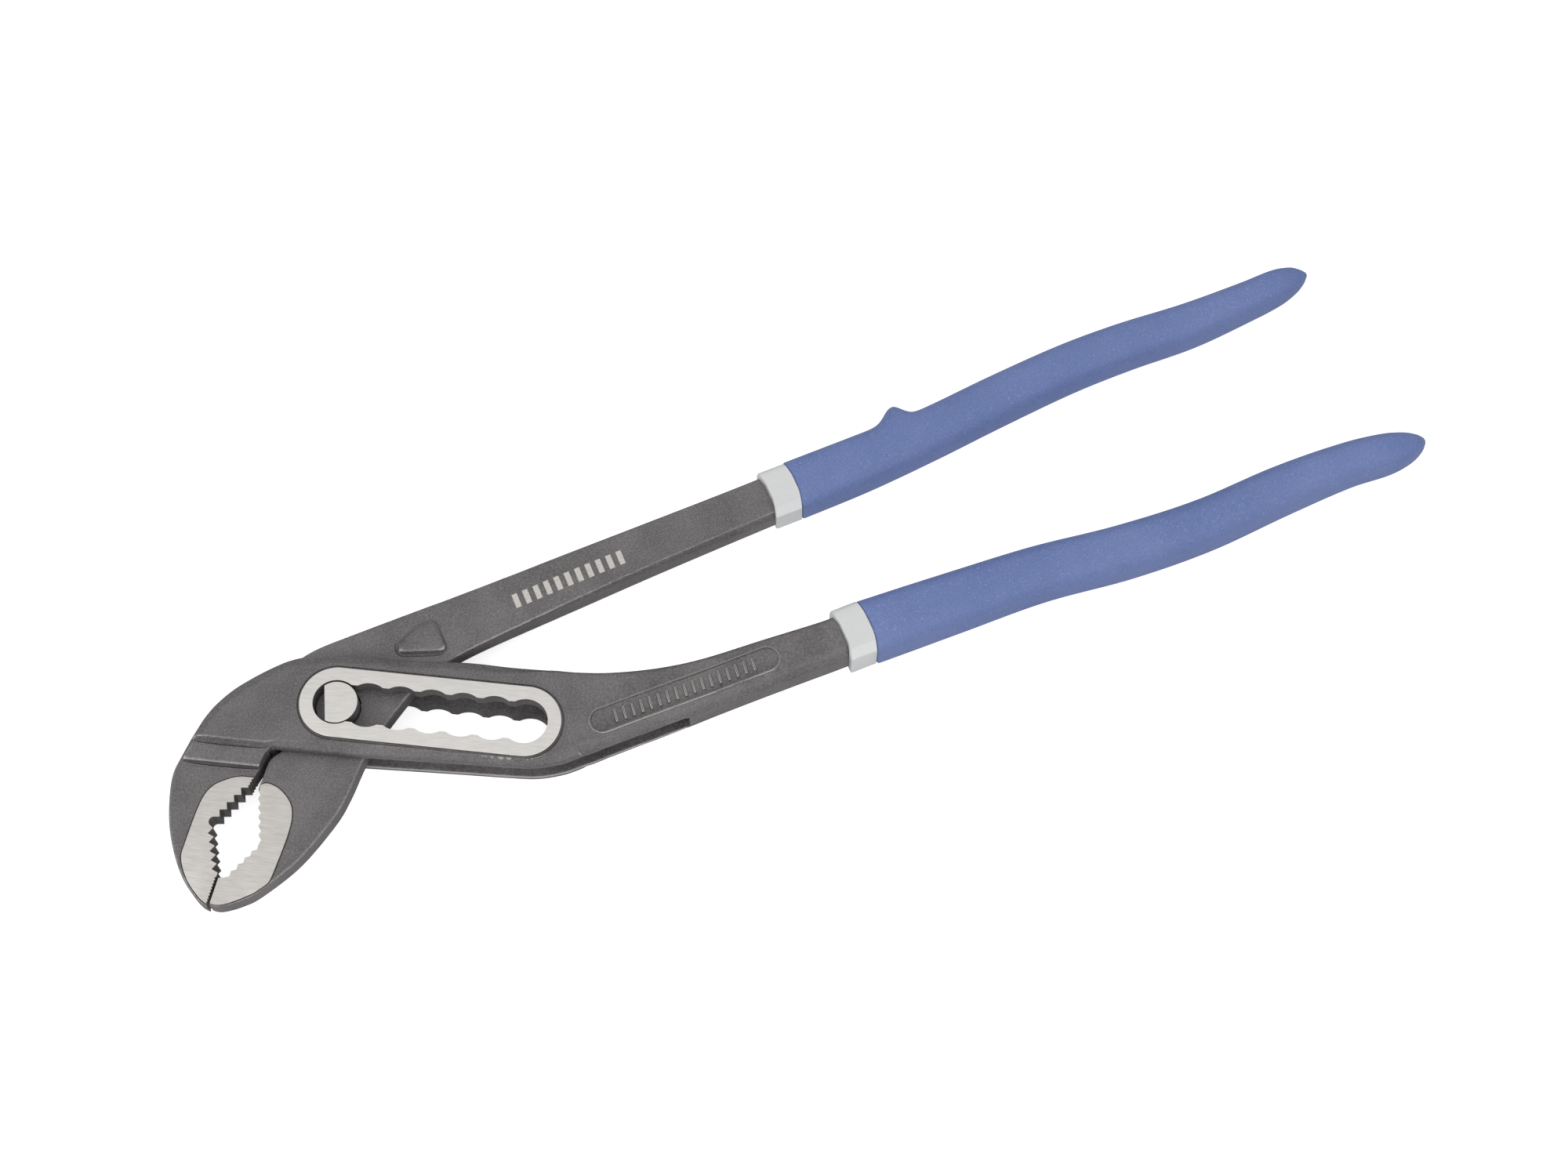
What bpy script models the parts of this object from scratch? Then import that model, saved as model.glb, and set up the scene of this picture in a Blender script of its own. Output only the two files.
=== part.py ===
"""Box joint slip-joint pliers, 12 inch class, modelled as seven separate pieces.

Frame: the origin is on the joint pin's axis, on the lower face of the ring around the slot.
+X runs along the tool from the jaws to the handle ends, +Y towards the inner half's handle,
+Z up through the thickness. All plan dimensions below are in millimetres.
"""

import math
from collections import namedtuple

import bmesh
import bpy

MM = 0.001

# Heights, all measured from the middle plane of the tool
MIDDLE = 6.6
RING_HALF = 6.6
BOX_HALF = 6.0
BOX_CHAMFER = 1.9
BOX_END = 47.0
EASE_LENGTH = 5.0
EASE_START = -31.0
STEEP_SHARE = 0.25
STAIR_HALF = 4.4
STAIR_END = (-18.3, -3.3)
JAW_HALF = 2.6
PAD_HALF = 2.8
CHANNEL_HALF = 3.05
PLATE_HALF = 2.6
BOSS_HALF = 4.4
THROUGH = 20.0

# Slot, notches and pin
SLOT_ANGLE = math.radians(-29.0)
NOTCH_COUNT = 7
NOTCH_PITCH = 7.18
NOTCH_RADIUS = 5.25
CUSP_HALF_WIDTH = 4.4
RING_RADIUS = 8.35
PIN_RADIUS = 4.95
PIN_FLAT_DISTANCE = 2.5
PIN_FLAT_ANGLE = math.radians(161.5)
PIN_ROUND_HALF = 2.9
PIN_CHAMFER = 0.25
PIN_HOLE_RADIUS = 5.25
ROUND_STEPS = 47
LAST_STEP_DEGREES = 352.5

# Channel between the two walls of the box
CHANNEL_ARC_RADIUS = 16.1
OPENING_ANGLE = 80.0
CHANNEL_END_TOP = (70.5, -16.0)
CHANNEL_END_LOW = (73.2, -38.0)

# Teeth
OUTER_TOOTH_DEPTH = 1.25
INNER_TOOTH_DEPTH = 0.65
FINE_TOOTH_DEPTH = 0.3
MOUTH_RELIEF_RADIUS = 1.15

# Dipped layers on the handles
GRIP_WALL = 0.55
LINER_WALL = 0.8
GAP = 0.3
COLLAR_EDGE = 0.35
GRIP_EDGE = 0.25
GRIP_EDGE_LENGTH = 0.4
LINER_STEP = 0.15
BEHIND_COLLAR = 2.4
LINER_END = 1.6
GRIP_END = 1.95
END_LENGTH = 1.2
END_SHARES = (0.75, 0.35)
GRIP_POWER = 2.8
COLLAR_POWER = 3.4
BAR_POWER = 5.0
SECTION_POINTS = 20
CURVE_STEP = 2.4

Collar = namedtuple("Collar", "front back grip_front low high half")
OUTER_COLLAR = Collar(111.8, 117.8, 118.3, -35.5, -22.2, 5.95)
INNER_COLLAR = Collar(109.9, 116.1, 116.6, 4.4, 16.7, 5.15)

# Panel sunk into the outer handle
PANEL_START = (54.0, -27.2)
PANEL_END = (94.0, -27.6)
PANEL_HALF_WIDTH = 2.7
PANEL_DEPTH = 0.4
PANEL_END_WIDTH = 0.1
PANEL_CUT_HEIGHT = 3.0
PANEL_STEPS = 12

# Outer handle: x, lower edge y, upper edge y, half thickness, section power
OUTER_BAR = [
    (39.0, -30.5, -8.6, 5.5, 7.0),
    (46.9, -32.78, -10.85, 5.95, 8.0),
    (53.0, -32.95, -13.95, 5.93, 8.0),
    (60.0, -33.1, -16.9, 5.8, 7.0),
    (70.0, -33.4, -19.8, 5.4, 6.0),
    (80.0, -33.5, -21.5, 5.0, BAR_POWER),
    (95.0, -33.7, -22.6, 4.9, BAR_POWER),
    (109.0, -34.0, -23.7, 4.9, BAR_POWER),
]
# Outer grip: x, lower edge y, upper edge y, half thickness
OUTER_GRIP = [
    (118.3, -36.1, -21.9, 6.3),
    (141.0, -36.8, -23.3, 6.4),
    (161.0, -37.5, -24.8, 6.4),
    (182.0, -40.0, -27.7, 6.4),
    (202.0, -40.8, -29.1, 6.3),
    (223.0, -39.6, -28.5, 6.2),
    (240.0, -39.0, -29.2, 6.0),
    (250.0, -39.7, -30.6, 5.6),
    (255.5, -39.1, -32.2, 4.4),
    (258.6, -37.8, -33.7, 2.6),
    (260.0, -36.4, -34.8, 1.1),
]
OUTER_BAR_END = 248.0

# Inner handle, in the same columns
INNER_BAR = [
    (24.0, 0.5, 15.6, 2.58, 9.0),
    (34.0, 1.7, 15.55, 2.58, 8.0),
    (45.0, 2.5, 15.4, 2.9, 7.0),
    (60.0, 3.3, 15.3, 3.4, 6.0),
    (80.0, 4.1, 15.3, 3.5, BAR_POWER),
    (109.0, 4.9, 15.5, 3.5, BAR_POWER),
]
INNER_GRIP = [
    (116.6, 4.1, 17.3, 5.5),
    (135.0, 4.5, 17.4, 5.6),
    (152.0, 5.7, 17.7, 5.6),
    (171.0, 7.6, 19.3, 5.6),
    (190.0, 9.1, 20.4, 5.6),
    (205.0, 9.3, 20.2, 5.6),
    (222.0, 8.8, 19.0, 5.5),
    (238.0, 10.0, 18.7, 5.3),
    (246.5, 11.0, 18.9, 4.8),
    (251.0, 12.3, 18.1, 3.6),
    (253.4, 13.6, 16.9, 2.0),
    (254.6, 14.8, 15.9, 0.8),
]
INNER_BAR_END = 243.0
GUARD_PEAK_X = 146.5
GUARD_HEIGHT = 3.6
GUARD_SPREAD = (3.7, 2.5)


def along_slot(distance, offset=0.0):
    """Point at a distance along the slot from the first notch, offset to the slot's left."""
    cosine, sine = math.cos(SLOT_ANGLE), math.sin(SLOT_ANGLE)
    return (distance * cosine - offset * sine, distance * sine + offset * cosine)


def spline(points, step=CURVE_STEP):
    """Smooth open curve through the points, as a list of points about one step apart."""
    result = []
    for index in range(len(points) - 1):
        before = points[max(index - 1, 0)]
        start, end = points[index], points[index + 1]
        after = points[min(index + 2, len(points) - 1)]
        count = max(1, round(math.dist(start, end) / step))
        for part in range(count):
            t = part / count
            result.append(tuple(
                0.5 * (2 * b + (c - a) * t + (2 * a - 5 * b + 4 * c - d) * t * t
                       + (3 * b - a - 3 * c + d) * t ** 3)
                for a, b, c, d in zip(before, start, end, after)
            ))
    result.append(tuple(points[-1]))
    return result


def arc(centre, radius, start_degrees, end_degrees, count):
    """Points on a circular arc, both ends included."""
    result = []
    for index in range(count + 1):
        angle = math.radians(start_degrees + (end_degrees - start_degrees) * index / count)
        result.append((centre[0] + radius * math.cos(angle), centre[1] + radius * math.sin(angle)))
    return result


def teeth(start, end, count, depth):
    """V teeth between two tooth tips, cut to the left of the line from start to end."""
    dx, dy = (end[0] - start[0]) / count, (end[1] - start[1]) / count
    pitch = math.hypot(dx, dy)
    root = (-dy / pitch * depth, dx / pitch * depth)
    result = []
    for index in range(count):
        x, y = start[0] + dx * index, start[1] + dy * index
        result.append((x, y))
        result.append((x + dx / 2 + root[0], y + dy / 2 + root[1]))
    result.append(end)
    return result


def station_values(stations, x):
    """Columns of a station table at x, read from a smooth curve through its rows."""
    if x <= stations[0][0]:
        return stations[0][1:]
    if x >= stations[-1][0]:
        return stations[-1][1:]
    index = next(i for i in range(len(stations) - 1) if stations[i + 1][0] > x)
    lower, upper = stations[index], stations[index + 1]
    before = stations[max(index - 1, 0)]
    after = stations[min(index + 2, len(stations) - 1)]
    span = upper[0] - lower[0]
    t = (x - lower[0]) / span
    result = []
    for column in range(1, len(lower)):
        slope_low = (upper[column] - before[column]) / (upper[0] - before[0]) * span
        slope_high = (after[column] - lower[column]) / (after[0] - lower[0]) * span
        result.append(
            (2 * t ** 3 - 3 * t * t + 1) * lower[column] + (t ** 3 - 2 * t * t + t) * slope_low
            + (3 * t * t - 2 * t ** 3) * upper[column] + (t ** 3 - t * t) * slope_high
        )
    return tuple(result)


def guard_rise(x):
    """Height of the finger guard bump above the inner grip's upper edge."""
    spread = GUARD_SPREAD[0] if x < GUARD_PEAK_X else GUARD_SPREAD[1]
    return GUARD_HEIGHT * math.exp(-((x - GUARD_PEAK_X) / spread) ** 2)


def section(x, low, high, half, power, rise=0.0):
    """Rounded cross section across the tool at x, with an optional rise on its upper side."""
    centre, width = (low + high) / 2, (high - low) / 2
    ring = []
    for index in range(SECTION_POINTS):
        angle = 2 * math.pi * (index + 0.5) / SECTION_POINTS
        cosine, sine = math.cos(angle), math.sin(angle)
        reach = width + rise if cosine > 0 else width
        y = centre + reach * math.copysign(abs(cosine) ** (2 / power), cosine)
        z = MIDDLE + half * math.copysign(abs(sine) ** (2 / power), sine)
        ring.append((x, y, z))
    return ring


def finish(bm, name, material):
    """Turn a bmesh in millimetres into a named, smooth shaded object in metres."""
    bmesh.ops.recalc_face_normals(bm, faces=bm.faces)
    bmesh.ops.scale(bm, vec=(MM, MM, MM), verts=bm.verts)
    mesh = bpy.data.meshes.new(name)
    bm.to_mesh(mesh)
    bm.free()
    mesh.shade_smooth()
    mesh.set_sharp_from_angle(angle=math.radians(30.0))
    mesh.materials.append(material)
    obj = bpy.data.objects.new(name, mesh)
    bpy.context.scene.collection.objects.link(obj)
    return obj


def inset_ring(outline, distance, ease):
    """Outline moved inwards by a distance times the ease at each point, counter-clockwise."""
    result = []
    for index, (x, y) in enumerate(outline):
        previous, following = outline[index - 1], outline[(index + 1) % len(outline)]
        ax, ay = x - previous[0], y - previous[1]
        bx, by = following[0] - x, following[1] - y
        la, lb = math.hypot(ax, ay), math.hypot(bx, by)
        nx, ny = -ay / la - by / lb, ax / la + bx / lb
        reach = 2.0 / max(nx * nx + ny * ny, 1.0) * distance * ease((x, y))
        result.append((x + nx * reach, y + ny * reach))
    return result


def slab(name, outline, bottom, top, material, chamfer=0.0, ease=lambda point: 1.0):
    """Flat piece with a closed outline between two heights above the middle plane."""
    area = sum(a[0] * b[1] - b[0] * a[1] for a, b in zip(outline, outline[1:] + outline[:1]))
    ring = outline if area > 0 else outline[::-1]
    levels = [(bottom, 0.0), (top, 0.0)]
    if chamfer:
        levels = [(bottom, chamfer), (bottom + chamfer, 0.0), (top - chamfer, 0.0), (top, chamfer)]
    bm = bmesh.new()
    rows = []
    for height, inset in levels:
        points = inset_ring(ring, inset, ease) if inset else ring
        rows.append([bm.verts.new((x, y, MIDDLE + height)) for x, y in points])
    for lower, upper in zip(rows, rows[1:]):
        for index in range(len(ring)):
            following = (index + 1) % len(ring)
            bm.faces.new((lower[index], lower[following], upper[following], upper[index]))
    bm.faces.new(rows[0][::-1])
    bm.faces.new(rows[-1])
    return finish(bm, name, material)


def add_tube_rows(bm, sections):
    """Skin between successive sections; returns the rows of vertices."""
    rows = [[bm.verts.new(point) for point in ring] for ring in sections]
    for lower, upper in zip(rows, rows[1:]):
        for index in range(len(lower)):
            following = (index + 1) % len(lower)
            bm.faces.new((lower[index], lower[following], upper[following], upper[index]))
    return rows


def loft(name, sections, material):
    """Closed solid through a row of sections."""
    bm = bmesh.new()
    rows = add_tube_rows(bm, sections)
    bm.faces.new(rows[0])
    bm.faces.new(rows[-1])
    return finish(bm, name, material)


def sleeve(name, outer_sections, inner_sections, material):
    """Cup-shaped cover, open at its first section and closed at its last."""
    bm = bmesh.new()
    outer = add_tube_rows(bm, outer_sections)
    inner = add_tube_rows(bm, inner_sections)
    bm.faces.new(outer[-1])
    bm.faces.new(inner[-1])
    count = len(outer[0])
    for index in range(count):
        following = (index + 1) % count
        bm.faces.new((outer[0][index], outer[0][following], inner[0][following], inner[0][index]))
    return finish(bm, name, material)


def combine(target, other, operation):
    """Union or cut that takes effect as a modifier; the other object becomes a guide."""
    other.hide_render = True
    other.display_type = "WIRE"
    other.hide_set(True)
    modifier = target.modifiers.new(other.name, "BOOLEAN")
    modifier.operation = operation
    modifier.solver = "EXACT"
    modifier.object = other


def principled(name, colour, roughness, metallic):
    """Material with one Principled BSDF."""
    material = bpy.data.materials.new(name)
    material.use_nodes = True
    shader = material.node_tree.nodes["Principled BSDF"]
    shader.inputs["Base Color"].default_value = (*colour, 1.0)
    shader.inputs["Roughness"].default_value = roughness
    shader.inputs["Metallic"].default_value = metallic
    return material


def slot_outline():
    """Notched slot: a round notch at every pitch, joined by shallow cusps."""
    reach = math.degrees(math.asin(CUSP_HALF_WIDTH / NOTCH_RADIUS))
    side = []
    for index in range(NOTCH_COUNT):
        first = 180.0 if index == 0 else 180.0 - reach
        last = 0.0 if index == NOTCH_COUNT - 1 else reach
        steps = 12 if index in (0, NOTCH_COUNT - 1) else 8
        side += arc((index * NOTCH_PITCH, 0.0), NOTCH_RADIUS, first, last, steps)
    lower = [(x, -y) for x, y in side[-2:0:-1]]
    return [along_slot(x, y) for x, y in side + lower]


def ring_outline():
    """Stadium of the ring that stands up around the slot."""
    length = (NOTCH_COUNT - 1) * NOTCH_PITCH
    points = arc((0.0, 0.0), RING_RADIUS, 90.0, 270.0, 20)
    points += arc((length, 0.0), RING_RADIUS, -90.0, 90.0, 20)
    return [along_slot(x, y) for x, y in points]


def outer_back():
    """Back of the outer half from the box's handle side over the top and down to the jaw tip."""
    return spline([
        (-3.5, 14.1), (-8.0, 14.5), (-15.9, 13.7), (-23.9, 11.8), (-29.9, 8.8), (-36.1, 3.4),
        (-40.2, -1.2), (-43.7, -9.8), (-45.15, -17.6), (-45.2, -24.6), (-43.8, -30.4), (-42.4, -32.6),
    ])


def box_upper_edge():
    """Edge of the box on the inner handle's side, from the outer handle to the back."""
    return spline([
        (BOX_END, -10.75), (40.0, -7.0), (31.0, -1.9), (20.0, 3.2), (5.0, 10.8), (-3.5, 14.1),
    ])


def box_lower_edge():
    """Edge of the box on the mouth's side, from the back to the outer handle."""
    return [(-33.6, 5.1), STAIR_END, (-15.5, -4.85), (0.0, -13.3)] + spline([
        (20.0, -23.4), (30.0, -28.5), (36.0, -31.3), (42.0, -32.7), (BOX_END, -32.86),
    ])


def box_ease(point):
    """The box's edge is broken wide, but stays steep along and near the first stair."""
    x, y = point
    start = STAIR_END[0] if y < 5.5 else EASE_START
    return STEEP_SHARE + (1.0 - STEEP_SHARE) * min(max((x - start) / EASE_LENGTH, 0.0), 1.0)


def outer_mouth_outline():
    """Space to the right of the outer jaw, with its coarse and fine teeth."""
    contact = teeth((-42.05, -32.3), (-38.15, -27.15), 9, FINE_TOOTH_DEPTH)
    lower_arm = teeth((-37.55, -26.4), (-35.25, -16.1), 5, OUTER_TOOTH_DEPTH)
    relief = arc((-34.6, -14.75), MOUTH_RELIEF_RADIUS, 200.0, 80.0, 6)
    upper_arm = teeth((-33.0, -14.2), (-24.9, -10.2), 4, OUTER_TOOTH_DEPTH)
    flat = teeth((-24.9, -10.2), (-23.2, -8.6), 3, FINE_TOOTH_DEPTH)
    heel = [(-21.25, -7.0), (-20.05, -5.75), (-18.65, -4.4), (-18.0, -4.1)]
    outside = [(-18.0, -60.0), (-60.0, -60.0), (-60.0, -36.0), (-42.9, -33.4)]
    return contact + lower_arm + relief + upper_arm[:-1] + flat + heel + outside


def inner_mouth_outline():
    """Space to the left of the inner jaw, with its shallow teeth."""
    upper_arm = teeth((-23.1, -11.5), (-27.1, -23.7), 6, INNER_TOOTH_DEPTH)
    lower_arm = teeth((-27.1, -23.7), (-36.6, -28.0), 5, INNER_TOOTH_DEPTH)
    contact = [(-37.8, -27.6), (-41.6, -32.65)]
    outside = [(-43.5, -36.0), (-60.0, -36.0), (-60.0, 0.0), (-23.2, -9.4)]
    return upper_arm + lower_arm[1:] + contact + outside


def outer_pad_outline():
    """Polished land along the outer jaw's mouth."""
    return spline([
        (-20.0, -10.0), (-23.2, -8.3), (-26.0, -6.9), (-29.0, -6.45), (-32.5, -6.8), (-36.0, -9.3),
        (-42.0, -16.8), (-44.0, -20.0), (-44.4, -24.5), (-43.7, -28.5), (-42.1, -32.2), (-38.0, -36.0),
    ]) + [(-20.0, -36.0)]


def inner_pad_outline():
    """Polished land along the inner jaw's mouth."""
    return spline([
        (-42.4, -34.1), (-38.0, -33.95), (-34.0, -34.0), (-30.5, -33.75), (-27.8, -32.8),
        (-24.5, -29.2), (-20.5, -24.3), (-18.2, -20.6), (-17.45, -17.3), (-18.4, -13.6),
        (-20.2, -11.2), (-21.8, -10.6), (-23.2, -11.3), (-26.0, -14.0),
    ]) + [(-36.0, -18.0), (-44.0, -30.0)]


def channel_outline():
    """Space between the box's walls that the inner half passes and turns through.

    Its back wall is the inner handle's upper edge turned to the full opening angle.
    """
    back_wall = arc((0.0, 0.0), CHANNEL_ARC_RADIUS, 90.0 + OPENING_ANGLE, 192.4, 6)
    rise = 14.0
    lean = rise / math.tan(math.radians(OPENING_ANGLE))
    top = (back_wall[0][0] + lean, back_wall[0][1] + rise)
    return [top] + back_wall + [
        (-18.1, -3.4), (-18.1, -60.0), (76.0, -60.0), CHANNEL_END_LOW, CHANNEL_END_TOP,
        (70.0, 30.0), (top[0], 30.0),
    ]


def panel_cutter(material):
    """Cutter for the sunk panel on the outer handle, which follows the handle's slope."""
    length = PANEL_END[0] - PANEL_START[0]
    sections = []
    for index in range(PANEL_STEPS + 1):
        angle = math.pi * index / PANEL_STEPS
        reach = PANEL_HALF_WIDTH * math.sin(angle)
        run = -math.cos(angle)
        x = (PANEL_START[0] if run < 0 else PANEL_END[0]) + PANEL_HALF_WIDTH * run
        share = min(max((x - PANEL_START[0]) / length, 0.0), 1.0)
        centre = PANEL_START[1] + share * (PANEL_END[1] - PANEL_START[1])
        reach = max(reach, PANEL_END_WIDTH)
        floor = MIDDLE + station_values(OUTER_BAR, x)[2] - PANEL_DEPTH
        sections.append([
            (x, centre - reach, floor), (x, centre + reach, floor),
            (x, centre + reach, floor + PANEL_CUT_HEIGHT),
            (x, centre - reach, floor + PANEL_CUT_HEIGHT),
        ])
    return loft("panel_cutter", sections, material)


def spread(start, end, count):
    """Evenly spaced values, both ends included."""
    return [start + (end - start) * index / count for index in range(count + 1)]


def grip_stations(table, front, end, count, inset, guard):
    """Sections of a surface at a constant inset inside the grip, narrowing to a round end."""
    sections = []
    for x in spread(front, end, count):
        low, high, half = station_values(table, x)
        rise = guard_rise(x) if guard else 0.0
        sections.append(section(x, low + inset, high - inset, half - inset, GRIP_POWER, rise))
    low, high, half = station_values(table, end)
    centre, width, depth = (low + high) / 2, (high - low) / 2 - inset, half - inset
    for share in END_SHARES:
        x = end + END_LENGTH * (1.0 - share)
        sections.append(
            section(x, centre - width * share, centre + width * share, depth * share, GRIP_POWER)
        )
    return sections


def bar_sections(bar, grip, collar, end):
    """Handle bar from the joint, through its collar and on inside the dipped layers."""
    x, low, high, half, power = bar[-1]
    wall = LINER_WALL + GAP
    neck = section(
        collar.front - GAP, max(low, collar.low + wall), min(high, collar.high - wall),
        min(half, collar.half - wall), COLLAR_POWER,
    )
    rear = grip_stations(grip, collar.front + 3.0, end, 9, 2 * GAP + LINER_WALL + GRIP_WALL, False)
    return [section(*row) for row in bar] + [neck] + rear


def liner(name, grip, collar, bar_end, material):
    """First dipped layer: a collar in front, then a thin sleeve under the grip."""

    def collar_section(x, inset):
        return section(
            x, collar.low + inset, collar.high - inset, collar.half - inset, COLLAR_POWER
        )

    outer = [
        collar_section(collar.front, COLLAR_EDGE),
        collar_section(collar.front + COLLAR_EDGE, 0.0),
        collar_section(collar.back, 0.0),
    ]
    outer += grip_stations(
        grip, collar.back + LINER_STEP, bar_end + LINER_END, 10, GRIP_WALL + GAP, False
    )
    inner = [collar_section(collar.front, LINER_WALL)]
    inner += grip_stations(
        grip, collar.front + BEHIND_COLLAR, bar_end + GAP, 10, GRIP_WALL + GAP + LINER_WALL, False
    )
    return sleeve(name, outer, inner, material)


def grip_cover(name, grip, collar, bar_end, guard, material):
    """Second dipped layer, the coloured grip."""
    front = collar.grip_front
    xs = spread(front + GRIP_EDGE_LENGTH, grip[-4][0], 12) + [row[0] for row in grip[-3:]]
    if guard:
        xs = sorted(xs + [GUARD_PEAK_X + step for step in (-7.0, -4.6, -2.4, 0.0, 2.0, 4.2)])
    low, high, half = station_values(grip, front)
    outer = [section(front, low + GRIP_EDGE, high - GRIP_EDGE, half - GRIP_EDGE, GRIP_POWER)]
    for x in xs:
        rise = guard_rise(x) if guard else 0.0
        outer.append(section(x, *station_values(grip, x), GRIP_POWER, rise))
    inner = grip_stations(grip, front, bar_end + GRIP_END, 10, GRIP_WALL, False)
    return sleeve(name, outer, inner, material)


def outer_half(material):
    """Toothed jaw, box with two walls and slot, and lower handle bar, in one forging."""
    jaw_plan = outer_back() + [(-38.0, -36.0), (-18.0, -30.0), (-10.0, -6.0), (-5.0, 5.0)]
    stair_plan = [
        (-36.9, 1.9), (-18.3, -7.9), (-18.1, -4.0), (-12.0, -5.5), (-5.0, 5.0), (-20.0, 8.0),
        (-33.3, 4.9),
    ]
    back = [point for point in outer_back() if point[0] > -33.2]
    box_plan = box_upper_edge()[:-1] + back + box_lower_edge()
    half = slab("outer_half", jaw_plan, -JAW_HALF, JAW_HALF, material, 0.7)
    bar_rows = bar_sections(OUTER_BAR, OUTER_GRIP, OUTER_COLLAR, OUTER_BAR_END)
    for added in (
        slab("outer_pad", outer_pad_outline(), -PAD_HALF, PAD_HALF, material),
        slab("stair", stair_plan, -STAIR_HALF, STAIR_HALF, material),
        slab("box", box_plan, -BOX_HALF, BOX_HALF, material, BOX_CHAMFER, box_ease),
        slab("ring", ring_outline(), -RING_HALF, RING_HALF, material),
        loft("outer_bar", bar_rows, material),
    ):
        combine(half, added, "UNION")
    for cutter in (
        slab("channel", channel_outline(), -CHANNEL_HALF, CHANNEL_HALF, material),
        slab("slot", slot_outline(), -THROUGH, THROUGH, material),
        slab("outer_mouth", outer_mouth_outline(), -THROUGH, THROUGH, material),
        panel_cutter(material),
    ):
        combine(half, cutter, "DIFFERENCE")
    return half


def inner_half(material):
    """Right jaw, plate that passes through the box, stop boss and upper handle bar."""
    lower_edge = spline([
        (-41.7, -32.6), (-40.8, -33.4), (-39.0, -34.1), (-35.0, -34.5), (-30.3, -34.0),
        (-20.2, -30.7), (-9.9, -24.7), (-4.7, -20.3), (0.5, -14.7), (4.8, -10.8), (9.7, -7.3),
        (17.4, -2.5), (23.5, 0.0), (30.0, 1.3),
    ])
    upper_edge = spline([
        (30.0, 15.6), (10.0, 15.75), (0.0, 15.6), (-5.5, 14.2), (-9.6, 10.9), (-12.6, 6.5),
        (-13.9, 1.5), (-13.9, -2.5), (-14.9, -4.5), (-17.4, -5.2), (-18.9, -6.1), (-20.0, -7.4),
        (-21.5, -9.3), (-22.75, -10.7), (-23.1, -11.5),
    ])
    plate_plan = lower_edge + upper_edge + [(-36.0, -18.0), (-44.0, -30.0)]
    boss_plan = [
        (17.25, 8.0), (17.9, 6.75), (26.5, 3.2), (27.8, 4.0), (27.9, 11.0), (26.8, 12.2),
        (24.0, 12.5), (22.6, 12.1), (17.6, 9.1),
    ]
    pin_hole = arc((0.0, 0.0), PIN_HOLE_RADIUS, 0.0, LAST_STEP_DEGREES, ROUND_STEPS)
    half = slab("inner_half", plate_plan, -PLATE_HALF, PLATE_HALF, material, 0.7)
    bar_rows = bar_sections(INNER_BAR, INNER_GRIP, INNER_COLLAR, INNER_BAR_END)
    combine(half, slab("inner_pad", inner_pad_outline(), -PAD_HALF, PAD_HALF, material), "UNION")
    combine(half, slab("boss", boss_plan, -BOSS_HALF, BOSS_HALF, material, 0.6), "UNION")
    combine(half, loft("inner_bar", bar_rows, material), "UNION")
    mouth = slab("inner_mouth", inner_mouth_outline(), -THROUGH, THROUGH, material)
    combine(half, mouth, "DIFFERENCE")
    combine(half, slab("pin_hole", pin_hole, -THROUGH, THROUGH, material), "DIFFERENCE")
    return half


def joint_pin(material):
    """Pin that lies in a notch of each wall; both of its ends carry one flat."""
    round_plan = arc((0.0, 0.0), PIN_RADIUS, 0.0, LAST_STEP_DEGREES, ROUND_STEPS)
    pin = slab("joint_pin", round_plan, -RING_HALF, RING_HALF, material, PIN_CHAMFER)
    cosine, sine = math.cos(PIN_FLAT_ANGLE), math.sin(PIN_FLAT_ANGLE)
    flat_plan = [
        (run * cosine - side * sine, run * sine + side * cosine)
        for run, side in (
            (PIN_FLAT_DISTANCE, -8.0), (2 * PIN_RADIUS, -8.0), (2 * PIN_RADIUS, 8.0),
            (PIN_FLAT_DISTANCE, 8.0),
        )
    ]
    for name, low, high in (
        ("upper_flat", PIN_ROUND_HALF, THROUGH), ("lower_flat", -THROUGH, -PIN_ROUND_HALF),
    ):
        combine(pin, slab(name, flat_plan, low, high, material), "DIFFERENCE")
    return pin


def main():
    """Clear the scene and build the seven pieces."""
    for obj in list(bpy.data.objects):
        bpy.data.objects.remove(obj)
    dark_steel = principled("phosphated_steel", (0.16, 0.15, 0.155), 0.48, 0.85)
    bright_steel = principled("ground_steel", (0.66, 0.63, 0.60), 0.30, 1.0)
    grey_plastic = principled("grey_first_dip", (0.62, 0.63, 0.64), 0.35, 0.0)
    blue_plastic = principled("blue_second_dip", (0.17, 0.22, 0.43), 0.60, 0.0)
    outer_half(dark_steel)
    inner_half(dark_steel)
    joint_pin(bright_steel)
    outer_handle = (OUTER_GRIP, OUTER_COLLAR, OUTER_BAR_END)
    inner_handle = (INNER_GRIP, INNER_COLLAR, INNER_BAR_END)
    liner("outer_handle_liner", *outer_handle, grey_plastic)
    liner("inner_handle_liner", *inner_handle, grey_plastic)
    grip_cover("outer_handle_grip", *outer_handle, False, blue_plastic)
    grip_cover("inner_handle_grip", *inner_handle, True, blue_plastic)


main()
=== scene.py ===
"""Box joint slip-joint pliers: forged halves, ground lands, turned pin and dipped handles.

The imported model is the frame. Its nodes are stood for by finer pieces in the same places:
two forgings with crisp ground lands, the joint pin, and a grey and a blue dipped layer on
each handle. Sizes in the classes below are millimetres in the row frame; +X runs from the
jaws to the handle ends, +Y towards the inner handle, +Z up through the thickness.
"""

import logging
import math
from collections.abc import Callable, Sequence
from dataclasses import dataclass, field
from enum import Enum

import bmesh
import bpy
import numpy as np
from mathutils import Matrix, Vector


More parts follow.
